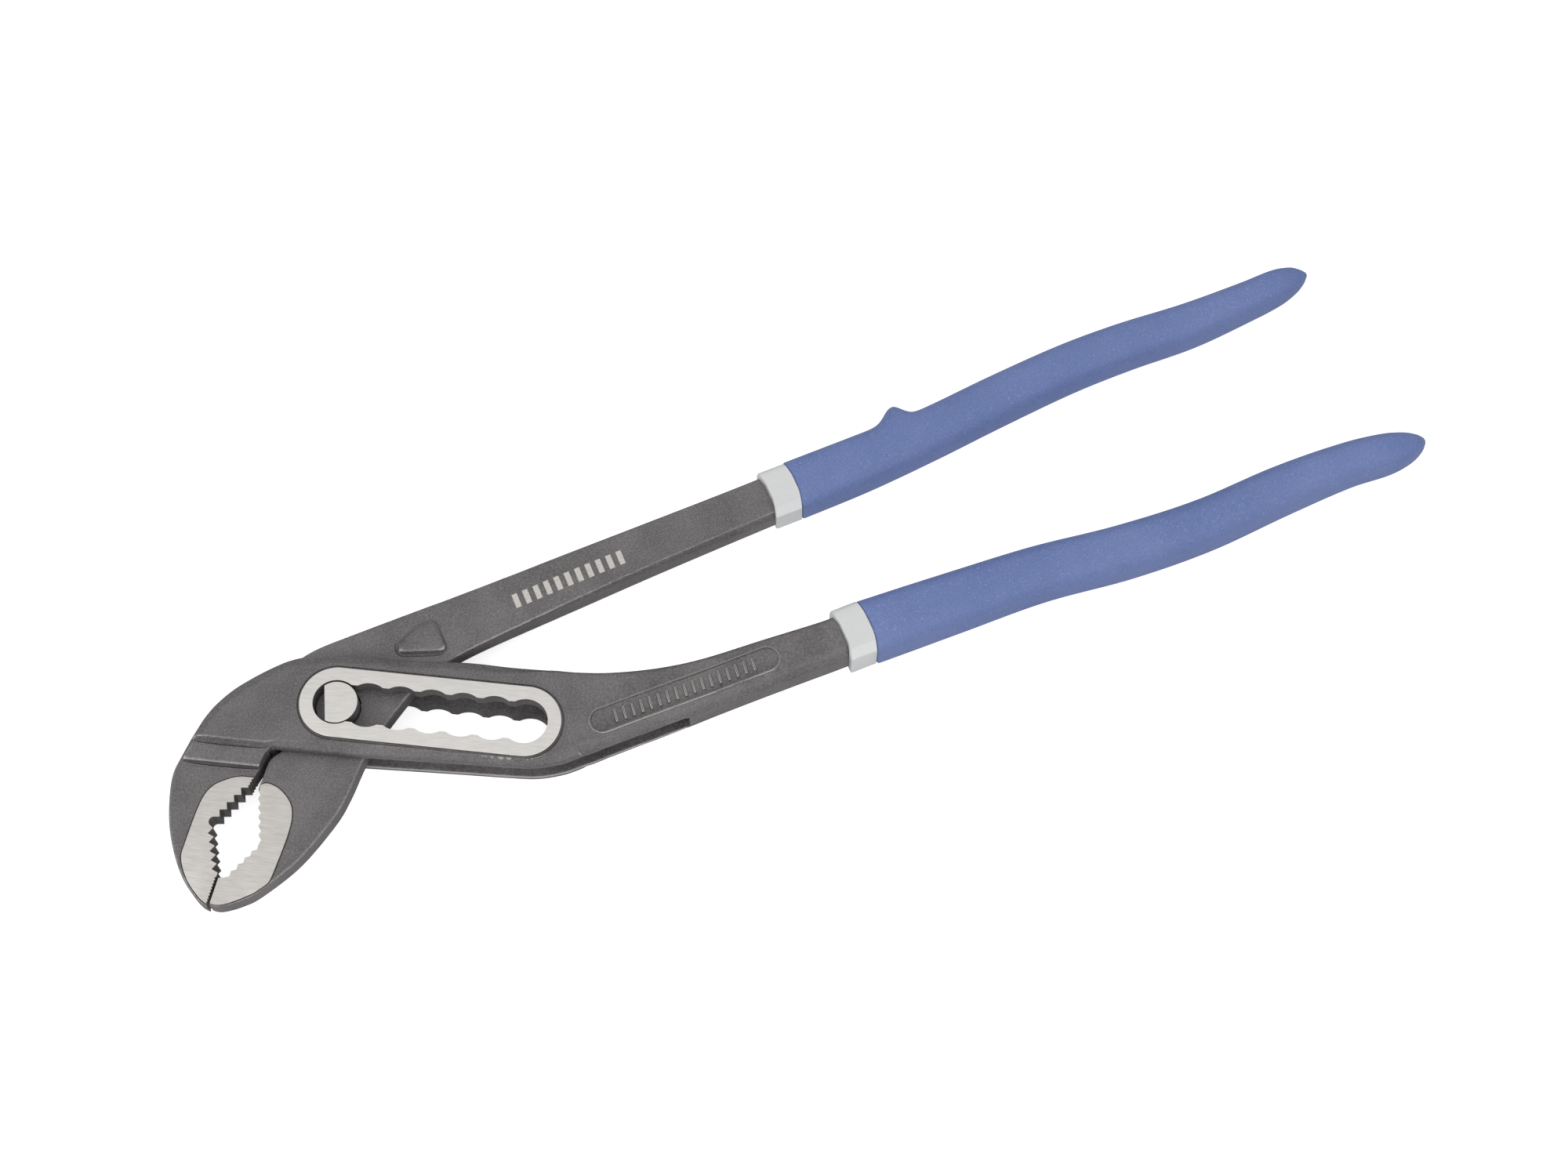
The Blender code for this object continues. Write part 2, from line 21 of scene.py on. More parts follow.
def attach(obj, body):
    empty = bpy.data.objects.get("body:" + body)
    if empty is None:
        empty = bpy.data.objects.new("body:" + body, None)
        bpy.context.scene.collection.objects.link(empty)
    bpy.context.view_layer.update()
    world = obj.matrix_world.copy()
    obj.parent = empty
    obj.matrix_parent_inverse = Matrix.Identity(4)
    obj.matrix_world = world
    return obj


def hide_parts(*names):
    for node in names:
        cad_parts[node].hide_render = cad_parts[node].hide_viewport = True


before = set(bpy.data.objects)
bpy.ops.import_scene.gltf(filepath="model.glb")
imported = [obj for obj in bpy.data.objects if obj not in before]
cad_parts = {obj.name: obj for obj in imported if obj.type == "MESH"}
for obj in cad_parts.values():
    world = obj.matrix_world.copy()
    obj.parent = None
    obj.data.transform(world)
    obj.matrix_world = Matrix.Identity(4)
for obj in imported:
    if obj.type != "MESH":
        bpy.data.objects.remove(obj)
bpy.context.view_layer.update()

log = logging.getLogger("pliers")

Point = tuple[float, float]
Row = tuple[float, ...]
Colour = tuple[float, float, float]

MM = 0.001
MIDDLE = 6.6
THROUGH = 9.0
CURVE_STEP = 0.6
VOXEL = 0.24
SMOOTH_PASSES = 7
SHARP_ANGLE = math.radians(48.0)
DIP_SHARP_ANGLE = math.radians(60.0)
PIN_SHARP_ANGLE = math.radians(30.0)
EXPOSURE_SCALE = 7.0
LEVEL_NORMAL = 0.4
LAND_FOOT = 0.5
GRIND_DEPTH = 0.11
GRIND_RISE = 0.02
PAD_GROOVE_RADIUS = 0.26


class Operation(Enum):
    """What a second solid does to the first one."""

    ADD = "UNION"
    CUT = "DIFFERENCE"
    KEEP = "INTERSECT"


class Brushing(Enum):
    """Direction of the grinding lines on a land, as an angle in degrees from +X."""

    JAWS = -31.0
    RING = -28.0
    PIN = -24.0


# Plan curves


def spline(points: Sequence[Point], step: float = CURVE_STEP) -> list[Point]:
    """Smooth open curve through the points.

    Args:
        points: Points the curve passes through.
        step: Rough distance between the points of the result.

    Returns:
        Points along the curve, both ends included.
    """
    result: list[Point] = []
    for index in range(len(points) - 1):
        before = points[max(index - 1, 0)]
        start, end = points[index], points[index + 1]
        after = points[min(index + 2, len(points) - 1)]
        count = max(1, round(math.dist(start, end) / step))
        for part in range(count):
            t = part / count
            result.append(tuple(
                0.5 * (2 * b + (c - a) * t + (2 * a - 5 * b + 4 * c - d) * t * t
                       + (3 * b - a - 3 * c + d) * t ** 3)
                for a, b, c, d in zip(before, start, end, after)
            ))
    result.append(tuple(points[-1]))
    return result


def line(start: Point, end: Point, count: int) -> list[Point]:
    """Points along a straight line."""
    return [(float(x), float(y)) for x, y in np.linspace(start, end, count)]


def arc(centre: Point, radius: float, start: float, end: float, count: int) -> list[Point]:
    """Points on a circular arc between two angles in degrees, both ends included."""
    angles = np.radians(np.linspace(start, end, count + 1))
    return [(centre[0] + radius * math.cos(a), centre[1] + radius * math.sin(a)) for a in angles]


def inset(outline: Sequence[Point], reach: Sequence[float]) -> list[Point]:
    """Moves a counter-clockwise outline inwards.

    Args:
        outline: Closed outline.
        reach: Distance to move each of its points.

    Returns:
        The moved outline.
    """
    points = np.array(outline)
    back = points - np.roll(points, 1, axis=0)
    ahead = np.roll(points, -1, axis=0) - points
    back /= np.linalg.norm(back, axis=1, keepdims=True)
    ahead /= np.linalg.norm(ahead, axis=1, keepdims=True)
    normal = np.stack([-back[:, 1] - ahead[:, 1], back[:, 0] + ahead[:, 0]], axis=1)
    scale = 2.0 / np.maximum((normal ** 2).sum(axis=1), 1.0) * np.array(reach)
    return [tuple(point) for point in points + normal * scale[:, None]]


def counter_clockwise(outline: Sequence[Point]) -> list[Point]:
    """The outline in counter-clockwise order."""
    points = list(outline)
    area = sum(a[0] * b[1] - b[0] * a[1] for a, b in zip(points, points[1:] + points[:1]))
    return points if area > 0 else points[::-1]


@dataclass(frozen=True)
class SlotLayout:
    """Notched slot through the box, shared by the outer half and the pin."""

    angle: float = -29.0
    count: int = 7
    pitch: float = 7.18
    notch_radius: float = 5.25
    cusp_half_width: float = 4.4
    ring_radius: float = 8.35

    @property
    def length(self) -> float:
        """Distance between the centres of the first and the last notch."""
        return (self.count - 1) * self.pitch

    def place(self, along: float, across: float = 0.0) -> Point:
        """Plan position of a point given along and across the slot."""
        cosine, sine = math.cos(math.radians(self.angle)), math.sin(math.radians(self.angle))
        return (along * cosine - across * sine, along * sine + across * cosine)

    def stadium(self, radius: float, steps: int = 40) -> list[Point]:
        """Outline around the whole slot at a radius from its centre line."""
        points = arc((0.0, 0.0), radius, 90.0, 270.0, steps)
        points += arc((self.length, 0.0), radius, -90.0, 90.0, steps)
        return [self.place(x, y) for x, y in points]


@dataclass(frozen=True)
class StationTable:
    """Rows of x and section values, read through a smooth curve."""

    rows: tuple[Row, ...]

    def at(self, x: float) -> Row:
        """Section values at x.

        Args:
            x: Position along the tool.

        Returns:
            The values of every column after the first.
        """
        rows = self.rows
        if x <= rows[0][0]:
            return rows[0][1:]
        if x >= rows[-1][0]:
            return rows[-1][1:]
        index = next(i for i in range(len(rows) - 1) if rows[i + 1][0] > x)
        lower, upper = rows[index], rows[index + 1]
        before, after = rows[max(index - 1, 0)], rows[min(index + 2, len(rows) - 1)]
        span = upper[0] - lower[0]
        t = (x - lower[0]) / span
        values = []
        for low, high, first, last in zip(lower[1:], upper[1:], before[1:], after[1:]):
            slope_low = (high - first) / (upper[0] - before[0]) * span
            slope_high = (last - low) / (after[0] - lower[0]) * span
            values.append(
                (2 * t ** 3 - 3 * t * t + 1) * low + (t ** 3 - 2 * t * t + t) * slope_low
                + (3 * t * t - 2 * t ** 3) * high + (t ** 3 - t * t) * slope_high
            )
        return tuple(values)


# Solids


def new_piece(name: str, bm: bmesh.types.BMesh) -> bpy.types.Object:
    """Turns a mesh in millimetres into an object in metres.

    Args:
        name: Name of the piece.
        bm: The mesh, which is freed.

    Returns:
        The object, linked to the scene.
    """
    bmesh.ops.recalc_face_normals(bm, faces=bm.faces)
    bmesh.ops.scale(bm, vec=(MM, MM, MM), verts=bm.verts)
    mesh = bpy.data.meshes.new(name)
    bm.to_mesh(mesh)
    bm.free()
    piece = bpy.data.objects.new(name, mesh)
    bpy.context.scene.collection.objects.link(piece)
    return piece


def skin(bm: bmesh.types.BMesh, rings: Sequence[Sequence[Row]]) -> list[list[bmesh.types.BMVert]]:
    """Adds quads between successive rings of points and returns their vertices."""
    rows = [[bm.verts.new(point) for point in ring] for ring in rings]
    for lower, upper in zip(rows, rows[1:]):
        for index in range(len(lower)):
            after = (index + 1) % len(lower)
            bm.faces.new((lower[index], lower[after], upper[after], upper[index]))
    return rows


def slab(
    name: str, outline: Sequence[Point], bottom: float, top: float, radius: float = 0.0,
    steps: int = 5, ease: Callable[[Point], float] | None = None, drop: float = 0.0,
    profile: Sequence[Point] = (),
) -> bpy.types.Object:
    """Plate with rounded edges.

    Args:
        name: Name of the plate.
        outline: Closed plan outline.
        bottom: Lower height above the middle plane.
        top: Upper height above the middle plane.
        radius: How far the rounding reaches in from the outline.
        steps: Rows of faces in each rounding.
        ease: Share of the rounding at a plan point.
        drop: Depth of the rounding, where it differs from the radius.
        profile: Shares of the reach and of the depth along the rounding, where it is no arc.

    Returns:
        The plate.
    """
    ring = counter_clockwise(outline)
    shares = [ease(point) if ease else 1.0 for point in ring]
    depth = drop or radius
    levels = [(bottom, 0.0), (top, 0.0)]
    if radius:
        turns = [math.pi / 2 * step / steps for step in range(steps + 1)]
        curve = list(profile) or [(1 - math.cos(t), 1 - math.sin(t)) for t in turns]
        levels = [(bottom + depth * down, inward) for inward, down in reversed(curve)]
        levels += [(top - depth * down, inward) for inward, down in curve]
    bm = bmesh.new()
    rings = []
    for height, share in levels:
        moved = inset(ring, [share * radius * part for part in shares])
        rings.append([(x, y, MIDDLE + height) for x, y in moved])
    rows = skin(bm, rings)
    bm.faces.new(rows[0][::-1])
    bm.faces.new(rows[-1])
    return new_piece(name, bm)


def loft(name: str, rings: Sequence[Sequence[Row]]) -> bpy.types.Object:
    """Closed solid through a row of rings."""
    bm = bmesh.new()
    rows = skin(bm, rings)
    bm.faces.new(rows[0])
    bm.faces.new(rows[-1])
    return new_piece(name, bm)


def sleeve(
    name: str, outer: Sequence[Sequence[Row]], inner: Sequence[Sequence[Row]],
) -> bpy.types.Object:
    """Cup-shaped layer, open at its first rings and closed at its last."""
    bm = bmesh.new()
    shell, lining = skin(bm, outer), skin(bm, inner)
    for rows in (shell, lining):
        tip = bm.verts.new(sum((v.co for v in rows[-1]), Vector()) / len(rows[-1]))
        for index in range(len(rows[-1])):
            bm.faces.new((rows[-1][index - 1], rows[-1][index], tip))
    for index in range(len(shell[0])):
        bm.faces.new((shell[0][index - 1], shell[0][index], lining[0][index], lining[0][index - 1]))
    return new_piece(name, bm)


def land(name: str, outline: Sequence[Point], edge: Sequence[Point], low: float,
         high: float) -> bpy.types.Object:
    """Land that stands on a jaw and stays inside the jaw's own edge.

    Args:
        name: Name of the land.
        outline: Its plan outline.
        edge: Plan outline that it may not pass.
        low: Lower height above the middle plane.
        high: Upper height above the middle plane.

    Returns:
        The land.
    """
    piece = slab(name, outline, low, high, 0.1, 2)
    shape(piece, [slab("edge", edge, -THROUGH, THROUGH)], Operation.KEEP)
    return piece


def settle(piece: bpy.types.Object) -> bpy.types.Object:
    """Replaces a piece's modifiers by the plain mesh that they make."""
    bpy.context.view_layer.update()
    graph = bpy.context.evaluated_depsgraph_get()
    mesh = bpy.data.meshes.new_from_object(piece.evaluated_get(graph), depsgraph=graph)
    piece.modifiers.clear()
    spare = piece.data
    piece.data = mesh
    mesh.name = piece.name
    bpy.data.meshes.remove(spare)
    return piece


def discard(piece: bpy.types.Object) -> None:
    """Removes a helper and its mesh."""
    spare = piece.data
    bpy.data.objects.remove(piece)
    bpy.data.meshes.remove(spare)


def shape(
    target: bpy.types.Object, others: Sequence[bpy.types.Object], operation: Operation,
) -> None:
    """Adds solids to a target or cuts them from it, and removes them from the scene."""
    for other in others:
        modifier = target.modifiers.new(other.name, "BOOLEAN")
        modifier.operation = operation.value
        modifier.solver = "MANIFOLD"
        modifier.object = other
    settle(target)
    for other in others:
        discard(other)


def bead(name: str, path: Sequence[Row], radius: float, closed: bool = True) -> bpy.types.Object:
    """Round rod that follows a path, to cut a soft groove or to add a raised line.

    Args:
        name: Name of the rod.
        path: Points along its axis, in millimetres above the row's zero.
        radius: Its radius.
        closed: Whether the path returns to its start; an open rod thins out at its ends.

    Returns:
        The rod.
    """
    count = len(path)
    rings = []
    for index, (x, y, z) in enumerate(path):
        before = path[index - 1] if closed or index else path[0]
        after = path[(index + 1) % count] if closed or index + 1 < count else path[-1]
        run = Vector((after[0] - before[0], after[1] - before[1])).normalized()
        share = 1.0 if closed else math.sin(math.pi * (index + 0.4) / (count - 0.2)) ** 0.3
        reach = radius * share
        rings.append([
            (x + run.y * reach * math.cos(turn), y - run.x * reach * math.cos(turn),
             z + reach * math.sin(turn))
            for turn in np.linspace(0.0, 2 * math.pi, 10, endpoint=False)])
    bm = bmesh.new()
    rows = skin(bm, rings + ([rings[0]] if closed else []))
    if closed:
        bmesh.ops.remove_doubles(bm, verts=bm.verts, dist=1e-5)
    else:
        bm.faces.new(rows[0])
        bm.faces.new(rows[-1])
    return new_piece(name, bm)


def grooves(name: str, plan: Sequence[Point], height: float, radius: float,
            closed: bool = True) -> list[bpy.types.Object]:
    """Cutters for the same groove in both faces, a height away from the middle plane."""
    cutters = []
    for index, side in enumerate((1.0, -1.0)):
        path = [(x, y, MIDDLE + side * height) for x, y in plan]
        cutters.append(bead(f"{name}_{index}", path, radius, closed))
    return cutters


def forge(piece: bpy.types.Object, keep: float) -> None:
    """Melts a joined solid into one skin with soft fillets, as a forging die leaves it.

    Args:
        piece: The solid.
        keep: Share of the faces that are kept afterwards.
    """
    remesh = piece.modifiers.new("skin", "REMESH")
    remesh.mode = "VOXEL"
    remesh.voxel_size = VOXEL * MM
    smooth = piece.modifiers.new("fillets", "SMOOTH")
    smooth.factor = 0.5
    smooth.iterations = SMOOTH_PASSES
    thin = piece.modifiers.new("thin", "DECIMATE")
    thin.ratio = keep
    settle(piece)


def shade(piece: bpy.types.Object, sharp: float = SHARP_ANGLE) -> None:
    """Shades a piece smooth, with an edge wherever its faces meet at more than an angle."""
    piece.data.shade_smooth()
    piece.data.set_sharp_from_angle(angle=sharp)


def mark_exposure(piece: bpy.types.Object) -> None:
    """Stores how far each point stands out from its neighbours, for rubbed edges and painted
    highlights along them.
    """
    mesh = piece.data
    count = len(mesh.vertices)
    points = np.empty(count * 3)
    normals = np.empty(count * 3)
    edges = np.empty(len(mesh.edges) * 2, dtype=np.int64)
    mesh.vertices.foreach_get("co", points)
    mesh.vertices.foreach_get("normal", normals)
    mesh.edges.foreach_get("vertices", edges)
    points, normals, edges = points.reshape(-1, 3), normals.reshape(-1, 3), edges.reshape(-1, 2)
    start, end = edges[:, 0], edges[:, 1]
    run = points[end] - points[start]
    run /= np.maximum(np.linalg.norm(run, axis=1, keepdims=True), 1e-9)
    total, share = np.zeros(count), np.zeros(count)
    for here, sign in ((start, -1.0), (end, 1.0)):
        np.add.at(total, here, sign * (run * normals[here]).sum(axis=1))
        np.add.at(share, here, 1.0)
    value = total / np.maximum(share, 1.0)
    spread = np.zeros(count)
    np.add.at(spread, start, value[end])
    np.add.at(spread, end, value[start])
    value = 0.5 * value + 0.5 * spread / np.maximum(share, 1.0)
    layer = mesh.attributes.new("exposure", "FLOAT", "POINT")
    layer.data.foreach_set("value", np.clip(value * EXPOSURE_SCALE, 0.0, 1.0).astype(np.float32))


def report(piece: bpy.types.Object) -> None:
    """Reports a finished piece."""
    log.info("%s: %d faces", piece.name, len(piece.data.polygons))


def dress(piece: bpy.types.Object, materials: Sequence[bpy.types.Material]) -> None:
    """Gives a piece its materials in order."""
    piece.data.materials.clear()
    for material in materials:
        piece.data.materials.append(material)


def within(points: np.ndarray, outline: Sequence[Point]) -> np.ndarray:
    """Tells which plan points lie inside an outline."""
    x, y = points[:, 0], points[:, 1]
    inside = np.zeros(len(points), dtype=bool)
    for (ax, ay), (bx, by) in zip(outline, list(outline[1:]) + [outline[0]]):
        if ay != by:
            inside ^= ((ay > y) != (by > y)) & (x < ax + (y - ay) / (by - ay) * (bx - ax))
    return inside


def grind(piece: bpy.types.Object,
          lands: Sequence[tuple[Sequence[Point], float, float, int]]) -> None:
    """Gives ground materials to the lands that stand at stated heights.

    Args:
        piece: The forging.
        lands: For each land, its plan outline, its least and most distance from the middle
            plane and the number of its material.
    """
    mesh = piece.data
    centres = np.empty(len(mesh.polygons) * 3)
    normals = np.empty(len(mesh.polygons) * 3)
    mesh.polygons.foreach_get("center", centres)
    mesh.polygons.foreach_get("normal", normals)
    centres, normals = centres.reshape(-1, 3) / MM, normals.reshape(-1, 3)
    height = np.abs(centres[:, 2] - MIDDLE)
    level = np.abs(normals[:, 2]) > LEVEL_NORMAL
    finish = np.zeros(len(height), dtype=np.int32)
    for outline, low, high, number in lands:
        finish[within(centres, outline) & (height > low) & (height < high) & level] = number
    mesh.polygons.foreach_set("material_index", finish)


# Geometry node trees


class Wiring:
    """Adds and links the nodes of one tree."""

    def __init__(self, tree: bpy.types.NodeTree) -> None:
        """Keeps the tree that the nodes go into."""
        self.tree = tree

    def add(self, kind: str, feeds: dict | None = None, **settings: object) -> bpy.types.Node:
        """Adds a node.

        Args:
            kind: Blender's name for the node type.
            feeds: Value or output socket for each input, by name or number.
            **settings: Properties of the node.

        Returns:
            The node.
        """
        node = self.tree.nodes.new(kind)
        for key, value in settings.items():
            setattr(node, key, value)
        for key, value in (feeds or {}).items():
            if isinstance(value, bpy.types.NodeSocket):
                self.tree.links.new(value, node.inputs[key])
            else:
                node.inputs[key].default_value = value
        return node

    def feed(self, node: bpy.types.Node, values: dict[str, bpy.types.NodeSocket]) -> None:
        """Links a socket to each named input of a node."""
        for key, value in values.items():
            self.tree.links.new(value, node.inputs[key])

    def place(self) -> bpy.types.NodeSocket:
        """Object coordinates."""
        return self.add("ShaderNodeTexCoord").outputs["Object"]

    def noise(
        self, place: bpy.types.NodeSocket, scale: object, detail: float, roughness: float,
    ) -> bpy.types.NodeSocket:
        """Noise read at a place."""
        return self.add("ShaderNodeTexNoise", {
            "Vector": place, "Scale": scale, "Detail": detail, "Roughness": roughness,
        }).outputs[0]

    def bump(
        self, strength: float, distance: float, height: bpy.types.NodeSocket,
    ) -> bpy.types.NodeSocket:
        """Normal that is bent by a height."""
        return self.add("ShaderNodeBump", {
            "Strength": strength, "Distance": distance, "Height": height,
        }).outputs[0]

    def sum(self, operation: str, *terms: object) -> bpy.types.NodeSocket:
        """Result of a Math node on the terms."""
        node = self.add("ShaderNodeMath", dict(enumerate(terms)), operation=operation)
        return node.outputs[0]

    def blend(self, share: object, first: object, second: object) -> bpy.types.NodeSocket:
        """Colour between two colours."""
        node = self.add("ShaderNodeMix", data_type="RGBA")
        for index, value in ((0, share), (6, first), (7, second)):
            if isinstance(value, bpy.types.NodeSocket):
                self.tree.links.new(value, node.inputs[index])
            elif index == 0:
                node.inputs[index].default_value = value
            else:
                node.inputs[index].default_value = (*value, 1.0)
        return node.outputs[2]

    def fit(
        self, value: object, low: object, high: object, first: object = 0.0, last: object = 1.0,
    ) -> bpy.types.NodeSocket:
        """Value eased from one range into another, held at its ends."""
        feeds = {0: value, 1: low, 2: high, 3: first, 4: last}
        node = self.add("ShaderNodeMapRange", feeds, interpolation_type="SMOOTHSTEP")
        return node.outputs[0]


def socket_id(tree: bpy.types.NodeTree, name: str) -> str:
    """Identifier of a tree's input, which a modifier's value is set by."""
    items = tree.interface.items_tree
    return next(i.identifier for i in items if i.item_type == "SOCKET"
                and i.in_out == "INPUT" and i.name == name)


def run_tree(name: str, tree: bpy.types.NodeTree, values: dict[str, object]) -> bpy.types.Object:
    """Makes the plain mesh that a geometry tree gives for some values.

    Args:
        name: Name of the result.
        tree: The geometry node tree.
        values: Value of each named input.

    Returns:
        An object with the mesh, without modifiers.
    """
    piece = bpy.data.objects.new(name, bpy.data.meshes.new(name))
    bpy.context.scene.collection.objects.link(piece)
    modifier = piece.modifiers.new(tree.name, "NODES")
    modifier.node_group = tree
    for key, value in values.items():
        modifier[socket_id(tree, key)] = value
    return settle(piece)


def geometry_tree(name: str, inputs: dict[str, str]) -> tuple[Wiring, bpy.types.Node]:
    """Starts a geometry tree with named inputs.

    Args:
        name: Name of the tree.
        inputs: Socket type of each input.

    Returns:
        The tree's wiring and its input node.
    """
    tree = bpy.data.node_groups.new(name, "GeometryNodeTree")
    tree.is_modifier = True
    tree.interface.new_socket("Geometry", in_out="INPUT", socket_type="NodeSocketGeometry")
    for key, kind in inputs.items():
        tree.interface.new_socket(key, in_out="INPUT", socket_type=kind)
    tree.interface.new_socket("Geometry", in_out="OUTPUT", socket_type="NodeSocketGeometry")
    return Wiring(tree), tree.nodes.new("NodeGroupInput")


def end_tree(wiring: Wiring, shape_socket: bpy.types.NodeSocket,
             material: bpy.types.NodeSocket) -> bpy.types.NodeTree:
    """Ends a geometry tree in Realize Instances and Set Material."""
    real = wiring.add("GeometryNodeRealizeInstances", {"Geometry": shape_socket})
    done = wiring.add("GeometryNodeSetMaterial", {
        "Geometry": real.outputs[0], "Material": material,
    })
    output = wiring.tree.nodes.new("NodeGroupOutput")
    wiring.tree.links.new(done.outputs[0], output.inputs[0])
    return wiring.tree


def row_tree() -> bpy.types.NodeTree:
    """Tree that repeats a part along a straight line: teeth and panel ribs."""
    wiring, given = geometry_tree("row_of_parts", {
        "Part": "NodeSocketObject", "Count": "NodeSocketInt", "Start": "NodeSocketVector",
        "Step": "NodeSocketVector", "Turn": "NodeSocketVector", "Material": "NodeSocketMaterial",
    })
    line = wiring.add("GeometryNodeMeshLine", {
        "Count": given.outputs["Count"], "Start Location": given.outputs["Start"],
        "Offset": given.outputs["Step"],
    }, mode="OFFSET")
    part = wiring.add("GeometryNodeObjectInfo", {"Object": given.outputs["Part"]})
    turn = wiring.add("FunctionNodeEulerToRotation", {0: given.outputs["Turn"]})
    placed = wiring.add("GeometryNodeInstanceOnPoints", {
        "Points": line.outputs[0], "Instance": part.outputs["Geometry"],
        "Rotation": turn.outputs[0],
    })
    loose = wiring.add("GeometryNodeRealizeInstances", {"Geometry": placed.outputs[0]})
    joined = wiring.add("GeometryNodeMeshBoolean", {
        "Mesh 2": loose.outputs[0], "Self Intersection": True,
    }, operation="UNION", solver="EXACT")
    return end_tree(wiring, joined.outputs["Mesh"], given.outputs["Material"])


def notch_tree() -> bpy.types.NodeTree:
    """Tree that makes the notched slot's cutter: a row of discs joined by a bar."""
    wiring, given = geometry_tree("notch_row", {
        "Count": "NodeSocketInt", "Pitch": "NodeSocketFloat", "Notch Radius": "NodeSocketFloat",
        "Half Width": "NodeSocketFloat", "Height": "NodeSocketFloat",
        "Sides": "NodeSocketInt", "Material": "NodeSocketMaterial",
    })
    step = wiring.add("ShaderNodeCombineXYZ", {"X": given.outputs["Pitch"]})
    line = wiring.add("GeometryNodeMeshLine", {
        "Count": given.outputs["Count"], "Offset": step.outputs[0],
    }, mode="OFFSET")
    disc = wiring.add("GeometryNodeMeshCylinder", {
        "Vertices": given.outputs["Sides"], "Radius": given.outputs["Notch Radius"],
        "Depth": given.outputs["Height"],
    })
    discs = wiring.add("GeometryNodeInstanceOnPoints", {
        "Points": line.outputs[0], "Instance": disc.outputs["Mesh"],
    })
    gaps = wiring.sum("SUBTRACT", given.outputs["Count"], 1.0)
    length = wiring.sum("MULTIPLY", gaps, given.outputs["Pitch"])
    width = wiring.sum("MULTIPLY", given.outputs["Half Width"], 2.0)
    size = wiring.add("ShaderNodeCombineXYZ", {
        "X": length, "Y": width, "Z": given.outputs["Height"],
    })
    bar = wiring.add("GeometryNodeMeshCube", {"Size": size.outputs[0]})
    half = wiring.add("ShaderNodeCombineXYZ", {"X": wiring.sum("MULTIPLY", length, 0.5)})
    moved = wiring.add("GeometryNodeTransform", {
        "Geometry": bar.outputs["Mesh"], "Translation": half.outputs[0],
    })
    realized = wiring.add("GeometryNodeRealizeInstances", {"Geometry": discs.outputs[0]})
    joined = wiring.add("GeometryNodeMeshBoolean", {"Self Intersection": True},
                        operation="UNION", solver="EXACT")
    for source in (realized.outputs[0], moved.outputs[0]):
        wiring.tree.links.new(source, joined.inputs["Mesh 2"])
    return end_tree(wiring, joined.outputs["Mesh"], given.outputs["Material"])


# Shader node groups


def shader_group(
    name: str, inputs: dict[str, float], outputs: Sequence[str],
) -> tuple[Wiring, bpy.types.Node, bpy.types.Node]:
    """Starts a shader node group of plain values.

    Args:
        name: Name of the group.
        inputs: Default value of each input.
        outputs: Names of the outputs.

    Returns:
        The group's wiring, its input node and its output node.
    """
    tree = bpy.data.node_groups.new(name, "ShaderNodeTree")
    for key, value in inputs.items():
        item = tree.interface.new_socket(key, in_out="INPUT", socket_type="NodeSocketFloat")
        item.default_value = value
    for key in outputs:
        tree.interface.new_socket(key, in_out="OUTPUT", socket_type="NodeSocketFloat")
    return Wiring(tree), tree.nodes.new("NodeGroupInput"), tree.nodes.new("NodeGroupOutput")


def grain_group() -> bpy.types.NodeTree:
    """Group that gives a fine grain, sparse bright specks and slow cloudy patches."""
    wiring, given, result = shader_group(
        "surface_grain", {"Grain Size": 0.3, "Patch Size": 12.0, "Speck Level": 0.7},
        ("Grain", "Specks", "Patches"),
    )
    place = wiring.place()
    fine_scale = wiring.sum("DIVIDE", 1 / MM, given.outputs["Grain Size"])
    patch_scale = wiring.sum("DIVIDE", 1 / MM, given.outputs["Patch Size"])
    speck_scale = wiring.sum("MULTIPLY", fine_scale, 0.9)
    fine = wiring.noise(place, fine_scale, 2.0, 0.6)
    specks = wiring.noise(place, speck_scale, 1.0, 0.5)
    patches = wiring.noise(place, patch_scale, 4.0, 0.6)
    level = given.outputs["Speck Level"]
    wiring.feed(result, {
        "Grain": wiring.fit(fine, 0.3, 0.7),
        "Specks": wiring.fit(specks, level, wiring.sum("ADD", level, 0.06)),
        "Patches": wiring.fit(patches, 0.3, 0.7),
    })
    return wiring.tree


def wear_and_highlight_group() -> bpy.types.NodeTree:
    """Broken-up mask along edges that stand out, on no flat or wall: rubbed edges and painted
    highlights.
    """
    wiring, given, result = shader_group(
        "edge_wear", {"From": 0.25, "To": 0.8, "Break Up": 0.5}, ("Wear",),
    )
    exposed = wiring.add("ShaderNodeAttribute", attribute_name="exposure").outputs["Fac"]
    centred = wiring.sum("SUBTRACT", wiring.noise(wiring.place(), 900.0, 3.0, 0.7), 0.5)
    shifted = wiring.sum("MULTIPLY_ADD", centred, given.outputs["Break Up"], exposed)
    mask = wiring.fit(shifted, given.outputs["From"], given.outputs["To"])
    # Flats and steep walls are left out, so the mask lies on tilted edges and rims, as rubbed coat
    # and as painted highlight.
    facing = wiring.add("ShaderNodeSeparateXYZ", {
        0: wiring.add("ShaderNodeNewGeometry").outputs["True Normal"]})
    tilt = wiring.sum("ABSOLUTE", facing.outputs[2])
    mask = wiring.sum("MULTIPLY", mask, wiring.fit(tilt, 0.2, 0.5))
    mask = wiring.sum("MULTIPLY", mask, wiring.fit(tilt, 0.982, 0.998, 1.0, 0.0))
    wiring.feed(result, {"Wear": mask})
    return wiring.tree


